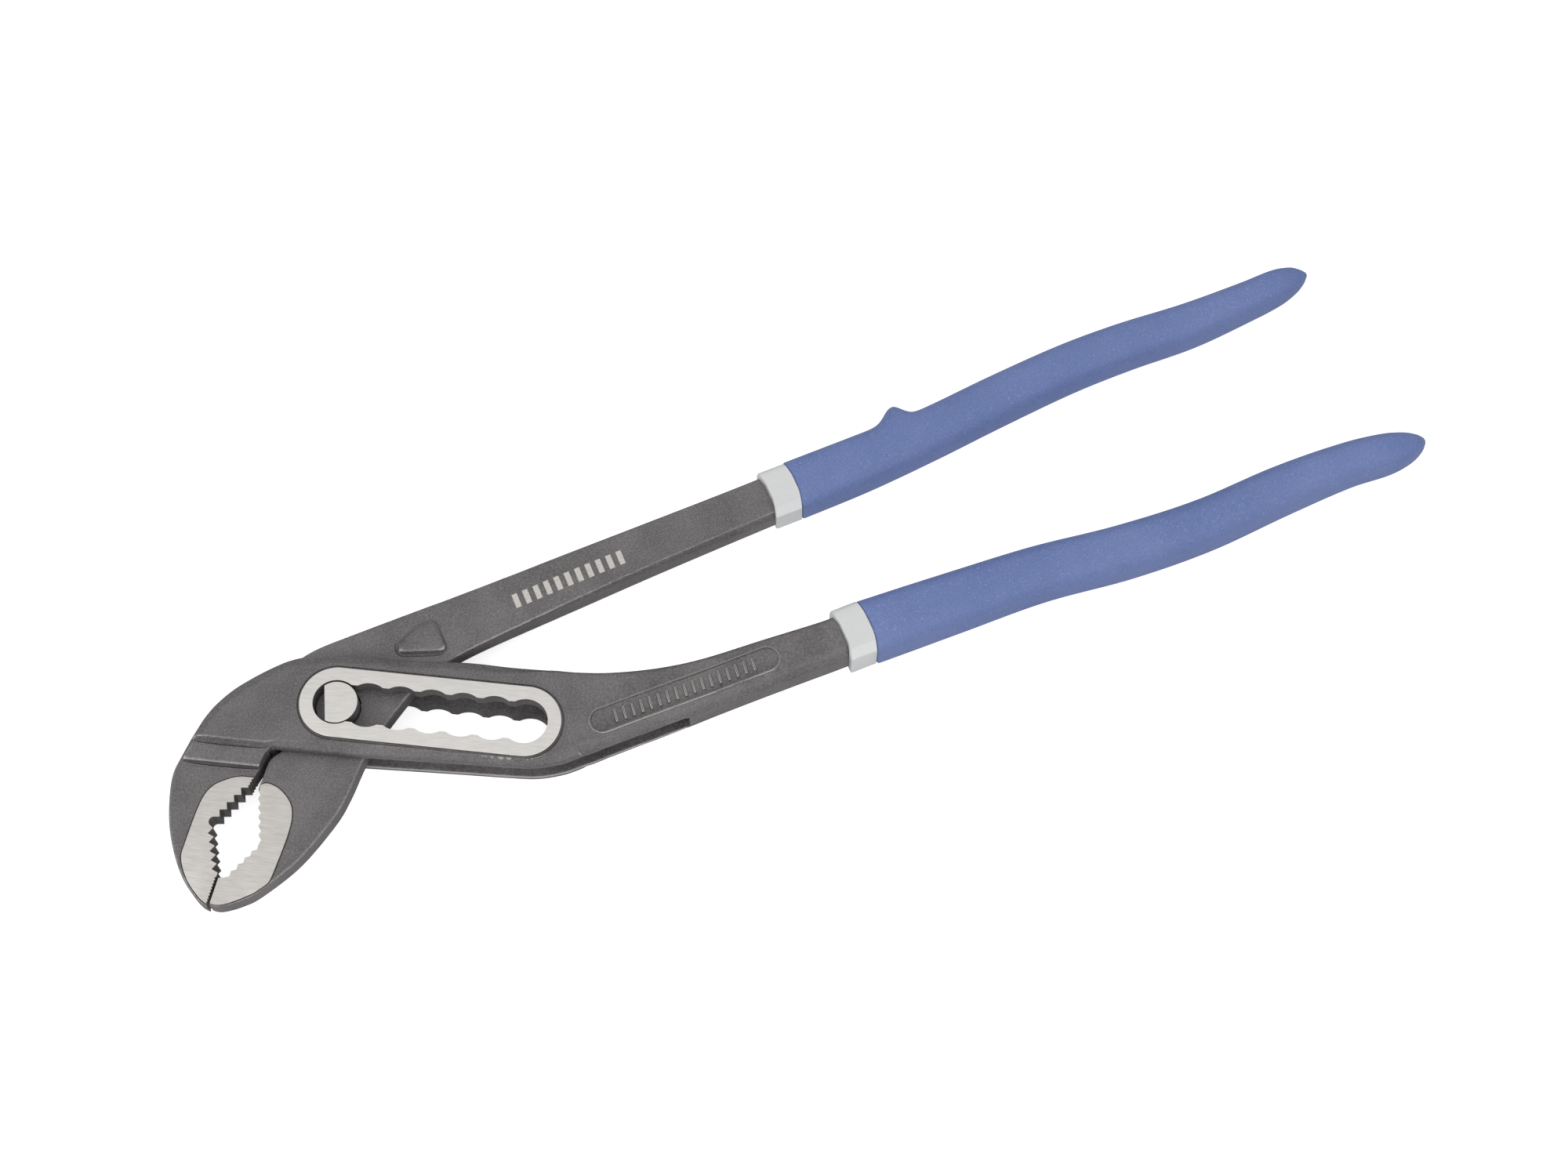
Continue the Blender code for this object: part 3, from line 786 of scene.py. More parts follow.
def brush_group() -> bpy.types.NodeTree:
    """Group that gives straight grinding lines, fine and coarse together."""
    wiring, given, result = shader_group(
        "grinding_lines", {"Angle": 0.0, "Line Width": 0.12, "Line Length": 9.0},
        ("Lines", "Bands"),
    )
    turn = wiring.add("ShaderNodeVectorRotate", {
        "Vector": wiring.place(), "Angle": given.outputs["Angle"],
    }, rotation_type="Z_AXIS")
    for key, share in (("Lines", 1.0), ("Bands", 6.0)):
        width = wiring.sum("MULTIPLY", given.outputs["Line Width"], share)
        across = wiring.sum("DIVIDE", 1 / MM, width)
        along = wiring.sum("DIVIDE", 1 / MM, given.outputs["Line Length"])
        scale = wiring.add("ShaderNodeCombineXYZ", {"X": along, "Y": across, "Z": along})
        drawn = wiring.add("ShaderNodeVectorMath", {
            0: turn.outputs[0], 1: scale.outputs[0],
        }, operation="MULTIPLY")
        noise = wiring.noise(drawn.outputs[0], 1.0, 3.0, 0.65)
        wiring.feed(result, {key: wiring.fit(noise, 0.25, 0.75)})
    return wiring.tree


@dataclass
class Effects:
    """The shader groups that the finishes share."""

    grain: bpy.types.NodeTree = field(default_factory=grain_group)
    wear_and_highlight: bpy.types.NodeTree = field(default_factory=wear_and_highlight_group)
    brush: bpy.types.NodeTree = field(default_factory=brush_group)


def start_material(name: str) -> tuple[bpy.types.Material, Wiring, bpy.types.Node]:
    """Makes a material and returns it with its wiring and its Principled BSDF."""
    material = bpy.data.materials.new(name)
    material.use_nodes = True
    return material, Wiring(material.node_tree), material.node_tree.nodes["Principled BSDF"]


def place_group(wiring: Wiring, tree: bpy.types.NodeTree, **values: float) -> bpy.types.Node:
    """Places a shader group with its own values, named with underscores for blanks."""
    node = wiring.add("ShaderNodeGroup", node_tree=tree)
    for key, value in values.items():
        node.inputs[key.replace("_", " ")].default_value = value
    return node


@dataclass(frozen=True)
class EtchedBars:
    """Plain row of light bars etched into the upper face of the inner handle."""

    left: float = 46.0
    right: float = 74.6
    middle: float = 8.7
    half_height: float = 1.7
    rise: float = 0.02
    pitch: float = 2.6
    fill: float = 0.5
    edge: float = 0.08

    def mask(self, wiring: Wiring) -> bpy.types.NodeSocket:
        """Mask that is 1 inside the bars."""
        split = wiring.add("ShaderNodeSeparateXYZ", {0: wiring.place()})
        x = wiring.sum("MULTIPLY", split.outputs[0], 1 / MM)
        y = wiring.sum("MULTIPLY", split.outputs[1], 1 / MM)
        up = wiring.add("ShaderNodeSeparateXYZ", {
            0: wiring.add("ShaderNodeNewGeometry").outputs["Normal"]})
        run = wiring.sum("SUBTRACT", x, self.left)
        middle = wiring.sum("MULTIPLY_ADD", run, self.rise, self.middle)
        away = wiring.sum("ABSOLUTE", wiring.sum("SUBTRACT", y, middle))
        cycle = wiring.sum("FRACT", wiring.sum("DIVIDE", run, self.pitch))
        in_bar = wiring.sum("LESS_THAN", cycle, self.fill)
        in_height = wiring.fit(away, self.half_height, self.half_height + self.edge, 1.0, 0.0)
        after = wiring.sum("GREATER_THAN", x, self.left)
        before = wiring.sum("LESS_THAN", x, self.right)
        facing = wiring.sum("GREATER_THAN", up.outputs[2], 0.9)
        result = wiring.sum("MULTIPLY", in_bar, in_height)
        for term in (after, before, facing):
            result = wiring.sum("MULTIPLY", result, term)
        return result


@dataclass(frozen=True)
class PhosphatedSteel:
    """Dark forged steel with a sandy phosphate coat."""

    dark: Colour = (0.090, 0.083, 0.085)
    light: Colour = (0.205, 0.193, 0.195)
    speck: Colour = (0.36, 0.345, 0.34)
    # Pale edge colour: bare steel where the coat is rubbed through, and also a painted highlight
    # along edges and rims.
    bare: Colour = (0.66, 0.64, 0.62)
    etched: Colour = (0.60, 0.57, 0.54)
    grain_size: float = 0.42
    relief: float = 0.08

    def material(
        self, name: str, effects: Effects, bars: EtchedBars | None = None,
    ) -> bpy.types.Material:
        """Builds the finish.

        Args:
            name: Name of the material.
            effects: Shared shader groups.
            bars: Etched bars on this piece, if it has them.

        Returns:
            The material.
        """
        material, wiring, shader = start_material(name)
        grain = place_group(wiring, effects.grain, Grain_Size=self.grain_size, Speck_Level=0.64)
        # Edge mask: partly rubbed coat, partly painted highlight on the bevels, rims and jaw edges.
        wear_and_highlight = place_group(wiring, effects.wear_and_highlight, From=0.24, To=0.95, Break_Up=0.45)
        tone = wiring.sum("MULTIPLY_ADD", grain.outputs["Patches"], 0.35,
                          wiring.sum("MULTIPLY", grain.outputs["Grain"], 0.65))
        colour = wiring.blend(tone, self.dark, self.light)
        specks = wiring.sum("MULTIPLY", grain.outputs["Specks"], 0.22)
        colour = wiring.blend(specks, colour, self.speck)
        worn_and_lit = wiring.sum("MULTIPLY", wear_and_highlight.outputs["Wear"], 0.6)
        colour = wiring.blend(worn_and_lit, colour, self.bare)
        metal = wiring.fit(worn_and_lit, 0.0, 1.0, 0.35, 0.5)
        rough = wiring.fit(grain.outputs["Grain"], 0.0, 1.0, 0.40, 0.56)
        if bars:
            mask = bars.mask(wiring)
            depth = wiring.fit(grain.outputs["Grain"], 0.0, 0.35, 0.7, 1.0)
            colour = wiring.blend(wiring.sum("MULTIPLY", mask, depth), colour, self.etched)
        wiring.feed(shader, {
            "Base Color": colour, "Metallic": metal, "Roughness": rough,
            "Normal": wiring.bump(0.5, self.relief * MM, grain.outputs["Grain"]),
        })
        return material


@dataclass(frozen=True)
class GroundSteel:
    """Bright steel left by a surface grinder."""

    low: Colour = (0.46, 0.435, 0.41)
    high: Colour = (0.78, 0.75, 0.72)
    roughness: Point = (0.34, 0.44)
    relief: float = 0.02

    def material(self, name: str, effects: Effects, brushing: Brushing) -> bpy.types.Material:
        """Builds the finish.

        Args:
            name: Name of the material.
            effects: Shared shader groups.
            brushing: Direction of its lines.

        Returns:
            The material.
        """
        material, wiring, shader = start_material(name)
        lines = place_group(wiring, effects.brush, Angle=-math.radians(brushing.value),
                            Line_Width=0.10, Line_Length=4.5)
        grain = place_group(wiring, effects.grain, Grain_Size=0.5, Patch_Size=9.0, Speck_Level=0.7)
        tone = wiring.sum("MULTIPLY", lines.outputs["Lines"], 0.55)
        tone = wiring.sum("MULTIPLY_ADD", lines.outputs["Bands"], 0.28, tone)
        tone = wiring.sum("MULTIPLY_ADD", grain.outputs["Patches"], 0.1, tone)
        colour = wiring.blend(tone, self.low, self.high)
        rough = wiring.fit(lines.outputs["Lines"], 0.0, 1.0, *self.roughness)
        shader.inputs["Metallic"].default_value = 0.92
        wiring.feed(shader, {
            "Base Color": colour, "Roughness": rough,
            "Normal": wiring.bump(0.12, self.relief * MM, lines.outputs["Lines"]),
        })
        return material


@dataclass(frozen=True)
class DippedPlastic:
    """Layer of soft plastic left by dipping the handle."""

    dark: Colour
    light: Colour
    roughness: Point
    grain_size: float
    relief: float
    coat: float = 0.0

    def material(self, name: str, effects: Effects) -> bpy.types.Material:
        """Builds the finish.

        Args:
            name: Name of the material.
            effects: Shared shader groups.

        Returns:
            The material.
        """
        material, wiring, shader = start_material(name)
        grain = place_group(wiring, effects.grain, Grain_Size=self.grain_size, Patch_Size=26.0,
                            Speck_Level=0.66)
        tone = wiring.sum("MULTIPLY_ADD", grain.outputs["Patches"], 0.4,
                          wiring.sum("MULTIPLY", grain.outputs["Grain"], 0.6))
        colour = wiring.blend(tone, self.dark, self.light)
        pale = tuple(min(1.0, value * 1.5) for value in self.light)
        specks = wiring.sum("MULTIPLY", grain.outputs["Specks"], 8.0 * self.relief)
        colour = wiring.blend(specks, colour, pale)
        rough = wiring.fit(grain.outputs["Grain"], 0.0, 1.0, *self.roughness)
        shader.inputs["Coat Weight"].default_value = self.coat
        shader.inputs["Coat Roughness"].default_value = 0.25
        wiring.feed(shader, {
            "Base Color": colour, "Roughness": rough,
            "Normal": wiring.bump(0.6, self.relief * MM, grain.outputs["Grain"]),
        })
        return material


# Handles: the dipped layers and the bars inside them


def round_section(
    x: float, low: float, high: float, half: float, power: float, rise: float = 0.0,
    count: int = 88,
) -> list[Row]:
    """Rounded cross section across the tool.

    Args:
        x: Position along the tool.
        low: Lower edge in y.
        high: Upper edge in y.
        half: Half thickness.
        power: How square the section is; 2 is an ellipse.
        rise: Extra height of its upper side.
        count: Number of points.

    Returns:
        Points around the section.
    """
    centre, width = (low + high) / 2, (high - low) / 2
    ring = []
    for index in range(count):
        angle = 2 * math.pi * (index + 0.5) / count
        cosine, sine = math.cos(angle), math.sin(angle)
        reach = width + rise if cosine > 0 else width
        ring.append((
            x, centre + reach * math.copysign(abs(cosine) ** (2 / power), cosine),
            MIDDLE + half * math.copysign(abs(sine) ** (2 / power), sine),
        ))
    return ring


def bowed(ring: Sequence[Row], amount: float) -> list[Row]:
    """Ring whose middle is set back along the tool by an amount."""
    low, high = min(y for _, y, _ in ring), max(y for _, y, _ in ring)
    middle, reach = (low + high) / 2, (high - low) / 2
    return [(x + amount * (1 - ((y - middle) / reach) ** 2), y, z) for x, y, z in ring]


def bar_section(
    x: float, low: float, high: float, half: float, facet: Point, edge: float,
) -> list[Row]:
    """Section of a bare handle bar with a broad bevel along its lower side.

    Args:
        x: Position along the tool.
        low: Lower edge in y.
        high: Upper edge in y.
        half: Half thickness.
        facet: Width and depth of the lower bevel.
        edge: Radius of the upper edges.

    Returns:
        Points around the section.
    """
    wide, deep = facet
    upper = [(low, half - deep - 0.6), (low + 0.1, half - deep),
             (low + wide * 0.5, half - deep * 0.42), (low + wide, half)]
    upper += [(high - edge + edge * math.sin(t), half - edge + edge * math.cos(t))
              for t in np.linspace(0.0, math.pi / 2, 5)]
    return [(x, y, MIDDLE + z) for y, z in upper] + [(x, y, MIDDLE - z) for y, z in upper[::-1]]


@dataclass(frozen=True)
class Handle:
    """One handle's dipped layers: a grey collar and first coat, and the blue grip over it."""

    side: str
    body: str
    grip: StationTable
    collar_front: float
    collar_back: float
    collar_low: float
    collar_high: float
    collar_half: float
    grip_front: float
    bar_end: float
    bar_front: Row
    guard_peak: float = 0.0
    guard_height: float = 0.0
    guard_spread: Point = (3.7, 2.5)
    grip_wall: float = 0.55
    liner_wall: float = 0.8
    gap: float = 0.3
    power_front: float = 3.4
    power_rear: float = 2.8
    collar_power: float = 6.0
    mouth_power: float = 9.0
    bar_fit: float = 0.04
    lip: float = 0.45
    bow: float = 0.9
    crease: float = 2.6
    crease_slope: float = 0.75

    def bow_at(self, x: float) -> float:
        """How far the middle of a ring is set back at x; it fades behind the grip's edge."""
        return self.bow * min(max(1.0 - (x - self.grip_front - 1.0) / 9.0, 0.0), 1.0)

    def guard_rise(self, x: float) -> float:
        """Height of the finger guard above the grip's upper edge at x."""
        if not self.guard_height:
            return 0.0
        spread = self.guard_spread[0] if x < self.guard_peak else self.guard_spread[1]
        return self.guard_height * math.exp(-((x - self.guard_peak) / spread) ** 2)

    def power(self, x: float) -> float:
        """How square the grip's section is at x."""
        share = min(max((x - self.grip_front) / 40.0, 0.0), 1.0)
        share = share * share * (3 - 2 * share)
        return self.power_front + (self.power_rear - self.power_front) * share

    def inside(self, start: float, end: float, depth: float, count: int = 50) -> list[list[Row]]:
        """Rings of a surface at a constant depth inside the grip, closed by a round end."""
        rings = []
        for x in np.linspace(start, end, count):
            low, high, half = self.grip.at(x)
            ring = round_section(x, low + depth, high - depth, half - depth, self.power(x))
            rings.append(bowed(ring, self.bow_at(x)))
        low, high, half = self.grip.at(end)
        centre, width, thick = (low + high) / 2, (high - low) / 2 - depth, half - depth
        for turn in (0.4, 0.8, 1.2):
            share, reach = math.cos(turn), 1.1 * math.sin(turn)
            rings.append(round_section(end + reach, centre - width * share, centre + width * share,
                                       thick * share, self.power_rear))
        return rings

    def collar_ring(self, x: float, depth: float) -> list[Row]:
        """Ring of the collar at x, a depth inside its surface, with a bevel on its lower side."""
        ring = []
        for _, y, z in round_section(x, self.collar_low + depth, self.collar_high - depth,
                                     self.collar_half - depth, self.collar_power):
            cut = max(self.collar_low + self.crease - y, 0.0) * self.crease_slope
            reach = min(abs(z - MIDDLE), self.collar_half - depth - cut)
            ring.append((x, y, MIDDLE + math.copysign(reach, z - MIDDLE)))
        return bowed(ring, self.bow)

    def build_liner(self) -> bpy.types.Object:
        """Grey first coat: a collar with a soft front lip, then a thin layer under the grip."""
        low, high, half = self.bar_front
        bar = (low - self.bar_fit, high + self.bar_fit, half + self.bar_fit, self.mouth_power)
        outer = [bowed(round_section(self.collar_front, *bar), self.bow)]
        for turn in np.linspace(0.0, math.pi / 2, 7):
            outer.append(self.collar_ring(self.collar_front + self.lip * (1 - math.cos(turn)),
                                          self.lip * (1 - math.sin(turn))))
        outer += [self.collar_ring(x, 0.0)
                  for x in np.linspace(self.collar_front + 1.2, self.collar_back + 0.35, 8)]
        outer += self.inside(self.collar_back + 0.45, self.bar_end + 1.6, self.grip_wall + self.gap)
        depth = self.grip_wall + self.gap + self.liner_wall
        inner = [round_section(self.collar_front + 1.6, *bar)]
        inner += self.inside(self.collar_front + 2.6, self.bar_end + self.gap, depth)
        return sleeve(f"{self.side}_handle_collar", outer, inner)

    def build_grip(self) -> bpy.types.Object:
        """Blue second coat with a rolled front edge, and the finger guard where it has one."""
        front, rows = self.grip_front, self.grip.rows
        xs = list(np.linspace(front + 0.5, rows[-4][0], 120))
        xs += list(np.linspace(rows[-4][0], rows[-1][0], 30))[1:]
        if self.guard_height:
            xs = sorted(set(xs) | set(np.linspace(self.guard_peak - 9, self.guard_peak + 7, 41)))
        outer = []
        for turn in np.linspace(0.0, math.pi / 2, 6)[:-1]:
            depth = 0.5 * (1 - math.sin(turn))
            low, high, half = self.grip.at(front)
            ring = round_section(front + 0.5 * (1 - math.cos(turn)), low + depth, high - depth,
                                 half - depth, self.power(front))
            outer.append(bowed(ring, self.bow))
        for x in xs:
            ring = round_section(x, *self.grip.at(x), self.power(x), self.guard_rise(x))
            outer.append(bowed(ring, self.bow_at(x)))
        inner = self.inside(front, self.bar_end + 1.95, self.grip_wall)
        return sleeve(f"{self.side}_handle_grip_cover", outer, inner)

    def build(self, grey: bpy.types.Material, blue: bpy.types.Material) -> None:
        """Builds and dresses both layers, attaches them to the handle's body and hides the imported
        parts in their place.
        """
        for piece, node, material, slot in (
            (self.build_liner(), "liner", grey, "grey_first_dip"),
            (self.build_grip(), "grip", blue, "blue_second_dip"),
        ):
            dress(piece, [material])
            shade(piece, DIP_SHARP_ANGLE)
            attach(piece, self.body)
            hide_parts(f"{self.side}_handle_{node}")
            report(piece)


# Teeth


@dataclass(frozen=True)
class ToothRow:
    """V teeth between two tooth tips, cut to the left of the line that joins them."""

    start: Point
    end: Point
    count: int
    depth: float

    def cutter(self, name: str, tree: bpy.types.NodeTree) -> bpy.types.Object:
        """Row of V-shaped cutters, one for each gap between two teeth."""
        run = Vector((self.end[0] - self.start[0], self.end[1] - self.start[1]))
        pitch = run.length / self.count
        over = 0.12 * pitch
        rise = self.depth * over / (pitch / 2)
        plan = [(-over, -rise), (pitch + over, -rise), (pitch / 2, self.depth)]
        part = slab(f"{name}_part", plan, -THROUGH, THROUGH)
        step = run.normalized() * pitch
        row = run_tree(name, tree, {
            "Part": part, "Count": self.count,
            "Start": (self.start[0] * MM, self.start[1] * MM, 0.0),
            "Step": (step.x * MM, step.y * MM, 0.0),
            "Turn": (0.0, 0.0, math.atan2(run.y, run.x)),
        })
        discard(part)
        return row


# The two halves


@dataclass
class OuterHalf:
    """Toothed jaw, box with its two walls and slot, and the lower handle bar."""

    slot: SlotLayout = field(default_factory=SlotLayout)
    jaw_half: float = 2.6
    pad_half: float = 2.8
    stair_half: float = 4.4
    box_half: float = 6.0
    box_rounding: float = 2.6
    box_drop: float = 2.0
    box_profile: tuple[Point, ...] = (
        (0.0, 1.0), (0.05, 0.72), (0.16, 0.5), (0.86, 0.02), (1.0, 0.0))
    ring_half: float = 6.6
    channel_half: float = 3.05
    ring_foot: float = 4.6
    ring_edge: float = 0.14
    groove_radius: float = 0.42
    foot_groove_radius: float = 0.5
    box_end: float = 47.0
    margin: float = 0.4
    opening: float = 80.0
    bar_facet: Point = (2.3, 1.9)
    bar_edge: float = 1.3
    coarse_tooth: float = 1.25
    fine_tooth: float = 0.3
    keep: float = 0.28
    panel_start: Point = (54.0, -27.2)
    panel_end: Point = (94.0, -27.6)
    panel_reach: float = 2.7
    panel_depth: float = 0.5
    rim_radius: float = 0.34
    rib_count: int = 17
    rib_pitch: float = 2.1
    first_rib: Point = (57.2, -27.25)
    bar: StationTable = StationTable((
        (39.0, -30.5, -8.6, 5.5), (46.9, -32.78, -10.85, 5.95), (53.0, -32.95, -13.95, 5.93),
        (60.0, -33.1, -16.9, 5.8), (70.0, -33.4, -19.8, 5.4), (80.0, -33.5, -21.5, 5.0),
        (95.0, -33.7, -22.6, 4.9), (109.0, -34.0, -23.7, 4.9), (112.0, -34.05, -23.75, 4.85),
        (118.0, -34.3, -23.7, 4.6), (141.0, -34.9, -25.2, 4.2), (161.0, -35.6, -26.7, 4.2),
        (182.0, -38.1, -29.6, 4.2), (202.0, -38.9, -31.0, 4.1), (223.0, -37.7, -30.4, 4.0),
        (240.0, -37.1, -31.1, 3.8), (248.0, -37.4, -32.4, 3.4),
    ))

    def back(self) -> list[Point]:
        """Back of the half, from the box's handle side over the top to the jaw tip."""
        return spline([
            (-3.5, 14.1), (-8.0, 14.5), (-15.9, 13.7), (-23.9, 11.8), (-29.9, 8.8), (-36.1, 3.4),
            (-40.2, -1.2), (-43.7, -9.8), (-45.15, -17.6), (-45.2, -24.6), (-43.8, -30.4),
            (-42.4, -32.6),
        ])

    def box_plan(self) -> list[Point]:
        """Outline of the box between the first stair and the handle."""
        upper = spline([(self.box_end, -10.75), (40.0, -7.0), (31.0, -1.9), (20.0, 3.2),
                        (5.0, 10.8), (-3.5, 14.1)])
        lower = [(-32.9, 4.75), (-18.3, -3.3), (-15.5, -4.85), (0.0, -13.3)] + spline([
            (20.0, -23.4), (30.0, -28.5), (36.0, -31.3), (42.0, -32.7), (self.box_end, -32.86),
        ])
        back = []
        for x, y in self.back():
            if x > -33.2:
                draft = 0.9 * min(max((-20.0 - x) / 13.0, 0.0), 1.0)
                back.append((x + 0.6 * draft, y - 0.8 * draft))
        return upper[:-1] + back + lower

    def box_ease(self, point: Point) -> float:
        """The box's edge is broken wide, but stays steeper along the first stair."""
        start = -18.3 if point[1] < 5.2 else -36.0
        fade = min(max((point[0] - start) / 5.0, 0.0), 1.0)
        if point[1] > -20.0:
            fade *= min(max((self.box_end - point[0]) / 10.0, 0.0), 1.0)
        return 0.4 + 0.6 * fade

    def channel(self) -> list[Point]:
        """Space between the walls that the inner half passes and turns through."""
        back_wall = arc((0.0, 0.0), 16.1, 90.0 + self.opening, 192.4, 10)
        rise = 14.0
        top = (back_wall[0][0] + rise / math.tan(math.radians(self.opening)),
               back_wall[0][1] + rise)
        return [top] + back_wall + [
            (-18.1, -3.4), (-18.1, -60.0), (76.0, -60.0), (73.2, -38.0), (70.5, -16.0),
            (70.0, 30.0), (top[0], 30.0),
        ]

    def pad(self) -> list[Point]:
        """Ground land along the mouth."""
        return spline([
            (-20.0, -10.0), (-23.2, -8.3), (-26.0, -6.9), (-29.0, -6.45), (-32.5, -6.8),
            (-36.0, -9.3), (-42.0, -16.8), (-44.0, -20.0), (-44.4, -24.5), (-43.7, -28.5),
            (-42.1, -32.2), (-38.0, -36.0),
        ]) + [(-20.0, -36.0)]

    def jaw_plan(self) -> list[Point]:
        """Outline of the jaw before the mouth is cut."""
        return self.back() + [(-38.0, -36.0), (-18.0, -30.0), (-10.0, -6.0), (-5.0, 5.0)]

    def blank(self) -> bpy.types.Object:
        """The forging before its lands, slot and teeth are cut."""
        stair_plan = [
            (-36.5, 1.55), (-18.3, -8.5), (-17.0, -4.0), (-12.0, -5.5), (-5.0, 5.0),
            (-20.0, 8.0), (-32.6, 4.8),
        ]
        rings = []
        for x in np.concatenate([np.linspace(39.0, 112.0, 60), np.linspace(114.0, 248.0, 40)]):
            low, high, half = self.bar.at(x)
            rings.append(bar_section(x, low, high, half, self.bar_facet, self.bar_edge))
        half = slab("outer_half_forging", self.jaw_plan(), -self.jaw_half, self.jaw_half, 0.6)
        shape(half, [
            slab("stair", stair_plan, -self.stair_half, self.stair_half, 0.45, 3),
            slab("box", self.box_plan(), -self.box_half, self.box_half, self.box_rounding, 7,
                 self.box_ease, self.box_drop, self.box_profile),
            loft("bar", rings),
        ], Operation.ADD)
        shape(half, [slab("channel", self.channel(), -self.channel_half, self.channel_half)],
              Operation.CUT)
        forge(half, self.keep)
        return half

    def panel_plan(self, grow: float) -> list[Point]:
        """Outline of the sunk panel, grown by a width."""
        start, end, reach = self.panel_start, self.panel_end, self.panel_reach
        across = (start[1] - end[1]) / (end[0] - start[0]) * reach
        upper = line((end[0] + across, end[1] + reach), (start[0] + across, start[1] + reach), 24)
        lower = line((start[0] - across, start[1] - reach), (end[0] - across, end[1] - reach), 24)
        outline = counter_clockwise(arc(start, reach, 90.0, 270.0, 16)[1:-1] + lower
                                    + arc(end, reach, -90.0, 90.0, 16)[1:-1] + upper)
        return inset(outline, [-grow] * len(outline))

    def panel_rim(self) -> bpy.types.Object:
        """Low raised line around the panel."""
        path = [(x, y, MIDDLE + self.bar.at(x)[2] - 0.2) for x, y in self.panel_plan(0.22)]
        return bead("panel_rim", path, self.rim_radius)

    def panel(self) -> bpy.types.Object:
        """Cutter for the sunk panel on the handle's upper face."""
        depth = self.panel_depth
        rings = []
        for level, grow in ((-depth, -0.15), (-depth + 0.15, 0.0), (0.0, 0.06), (3.0, 0.12)):
            moved = self.panel_plan(grow)
            rings.append([(x, y, MIDDLE + self.bar.at(x)[2] + level) for x, y in moved])
        return loft("panel", rings)

    def mouth(self, row_maker: bpy.types.NodeTree) -> list[bpy.types.Object]:
        """Cutters for the mouth, its relief and its rows of teeth."""
        relief = arc((-34.6, -14.75), 1.15, 200.0, 80.0, 12)
        plan = [(-42.05, -32.3), (-38.15, -27.15), (-37.55, -26.4), (-35.25, -16.1)] + relief + [
            (-33.0, -14.2), (-24.9, -10.2), (-23.2, -8.6), (-21.25, -7.0), (-20.05, -5.75),
            (-18.65, -4.4), (-17.0, -3.75), (-17.0, -60.0), (-60.0, -60.0), (-60.0, -36.0),
            (-42.9, -33.4),
        ]
        rows = (
            ToothRow((-42.05, -32.3), (-38.15, -27.15), 9, self.fine_tooth),
            ToothRow((-37.55, -26.4), (-35.25, -16.1), 5, self.coarse_tooth),
            ToothRow((-33.0, -14.2), (-24.9, -10.2), 4, self.coarse_tooth),
            ToothRow((-24.9, -10.2), (-23.2, -8.6), 3, self.fine_tooth),
        )
        cutters = [slab("mouth", plan, -THROUGH, THROUGH)]
        cutters += [row.cutter(f"outer_teeth_{index}", row_maker) for index, row in enumerate(rows)]
        return cutters

    def notches(self, notch_maker: bpy.types.NodeTree) -> bpy.types.Object:
        """Cutter for the notched slot."""
        cutter = run_tree("notches", notch_maker, {
            "Count": self.slot.count, "Pitch": self.slot.pitch * MM, "Sides": 96,
            "Notch Radius": self.slot.notch_radius * MM,
            "Half Width": self.slot.cusp_half_width * MM, "Height": 2 * THROUGH * MM,
        })
        turn = Matrix.Rotation(math.radians(self.slot.angle), 4, "Z")
        cutter.data.transform(Matrix.Translation((0.0, 0.0, MIDDLE * MM)) @ turn)
        return cutter

    def ribs(self, row_maker: bpy.types.NodeTree, steel: bpy.types.Material) -> bpy.types.Object:
        """Row of small plain ribs that stand in the sunk panel."""
        middle, left, right = 74.0, 57.0, 91.0
        floor = MIDDLE + self.bar.at(middle)[2] - 0.45
        slope = (self.bar.at(right)[2] - self.bar.at(left)[2]) / (right - left)
        part = slab("rib_part", [(-0.45, -1.55), (0.1, -1.55), (0.45, 1.55), (-0.1, 1.55)],
                    -0.2, 0.46, 0.16, 2)
        part.data.transform(Matrix.Translation((0.0, 0.0, -MIDDLE * MM)))
        pitch = self.rib_pitch
        x, y = self.first_rib
        height = floor + slope * (x - middle)
        row = run_tree("panel_ribs", row_maker, {
            "Part": part, "Count": self.rib_count, "Start": (x * MM, y * MM, height * MM),
            "Step": (pitch * MM, -0.01 * pitch * MM, slope * pitch * MM), "Material": steel,
        })
        discard(part)
        return row

    def build(self, row_maker: bpy.types.NodeTree, notch_maker: bpy.types.NodeTree,
              steel: bpy.types.Material, ground: bpy.types.Material,
              ring_ground: bpy.types.Material) -> None:
        """Builds and dresses the half."""
        half = self.blank()
        ring = self.slot.stadium(self.slot.ring_radius)
        pad_plan = self.pad()
        edge = counter_clockwise(self.jaw_plan())
        edge = inset(edge, [self.margin] * len(edge))
        shape(half, [self.panel_rim()], Operation.ADD)
        cutters = [self.panel()]
        cutters += grooves("ring_groove", self.slot.stadium(self.slot.ring_radius + 0.2, 60),
                           self.box_half + 0.05, self.groove_radius)
        cutters += grooves("pad_groove", pad_plan, self.jaw_half, PAD_GROOVE_RADIUS)
        cutters += grooves("upper_foot", line((-32.5, 4.5), (-18.0, -3.46), 30),
                           self.stair_half, self.foot_groove_radius, False)
        cutters += grooves("lower_foot", line((-36.0, 1.2), (-20.6, -7.2), 30),
                           self.jaw_half, self.foot_groove_radius, False)
        shape(half, cutters, Operation.CUT)
        shape(half, [
            slab("ring_upper", ring, self.ring_foot, self.ring_half, self.ring_edge, 3),
            slab("ring_lower", ring, -self.ring_half, -self.ring_foot, self.ring_edge, 3),
            land("pad_upper", pad_plan, edge, LAND_FOOT, self.pad_half),
            land("pad_lower", pad_plan, edge, -self.pad_half, -LAND_FOOT),
        ], Operation.ADD)
        shape(half, [self.notches(notch_maker)] + self.mouth(row_maker), Operation.CUT)
        dress(half, [steel, ground, ring_ground])
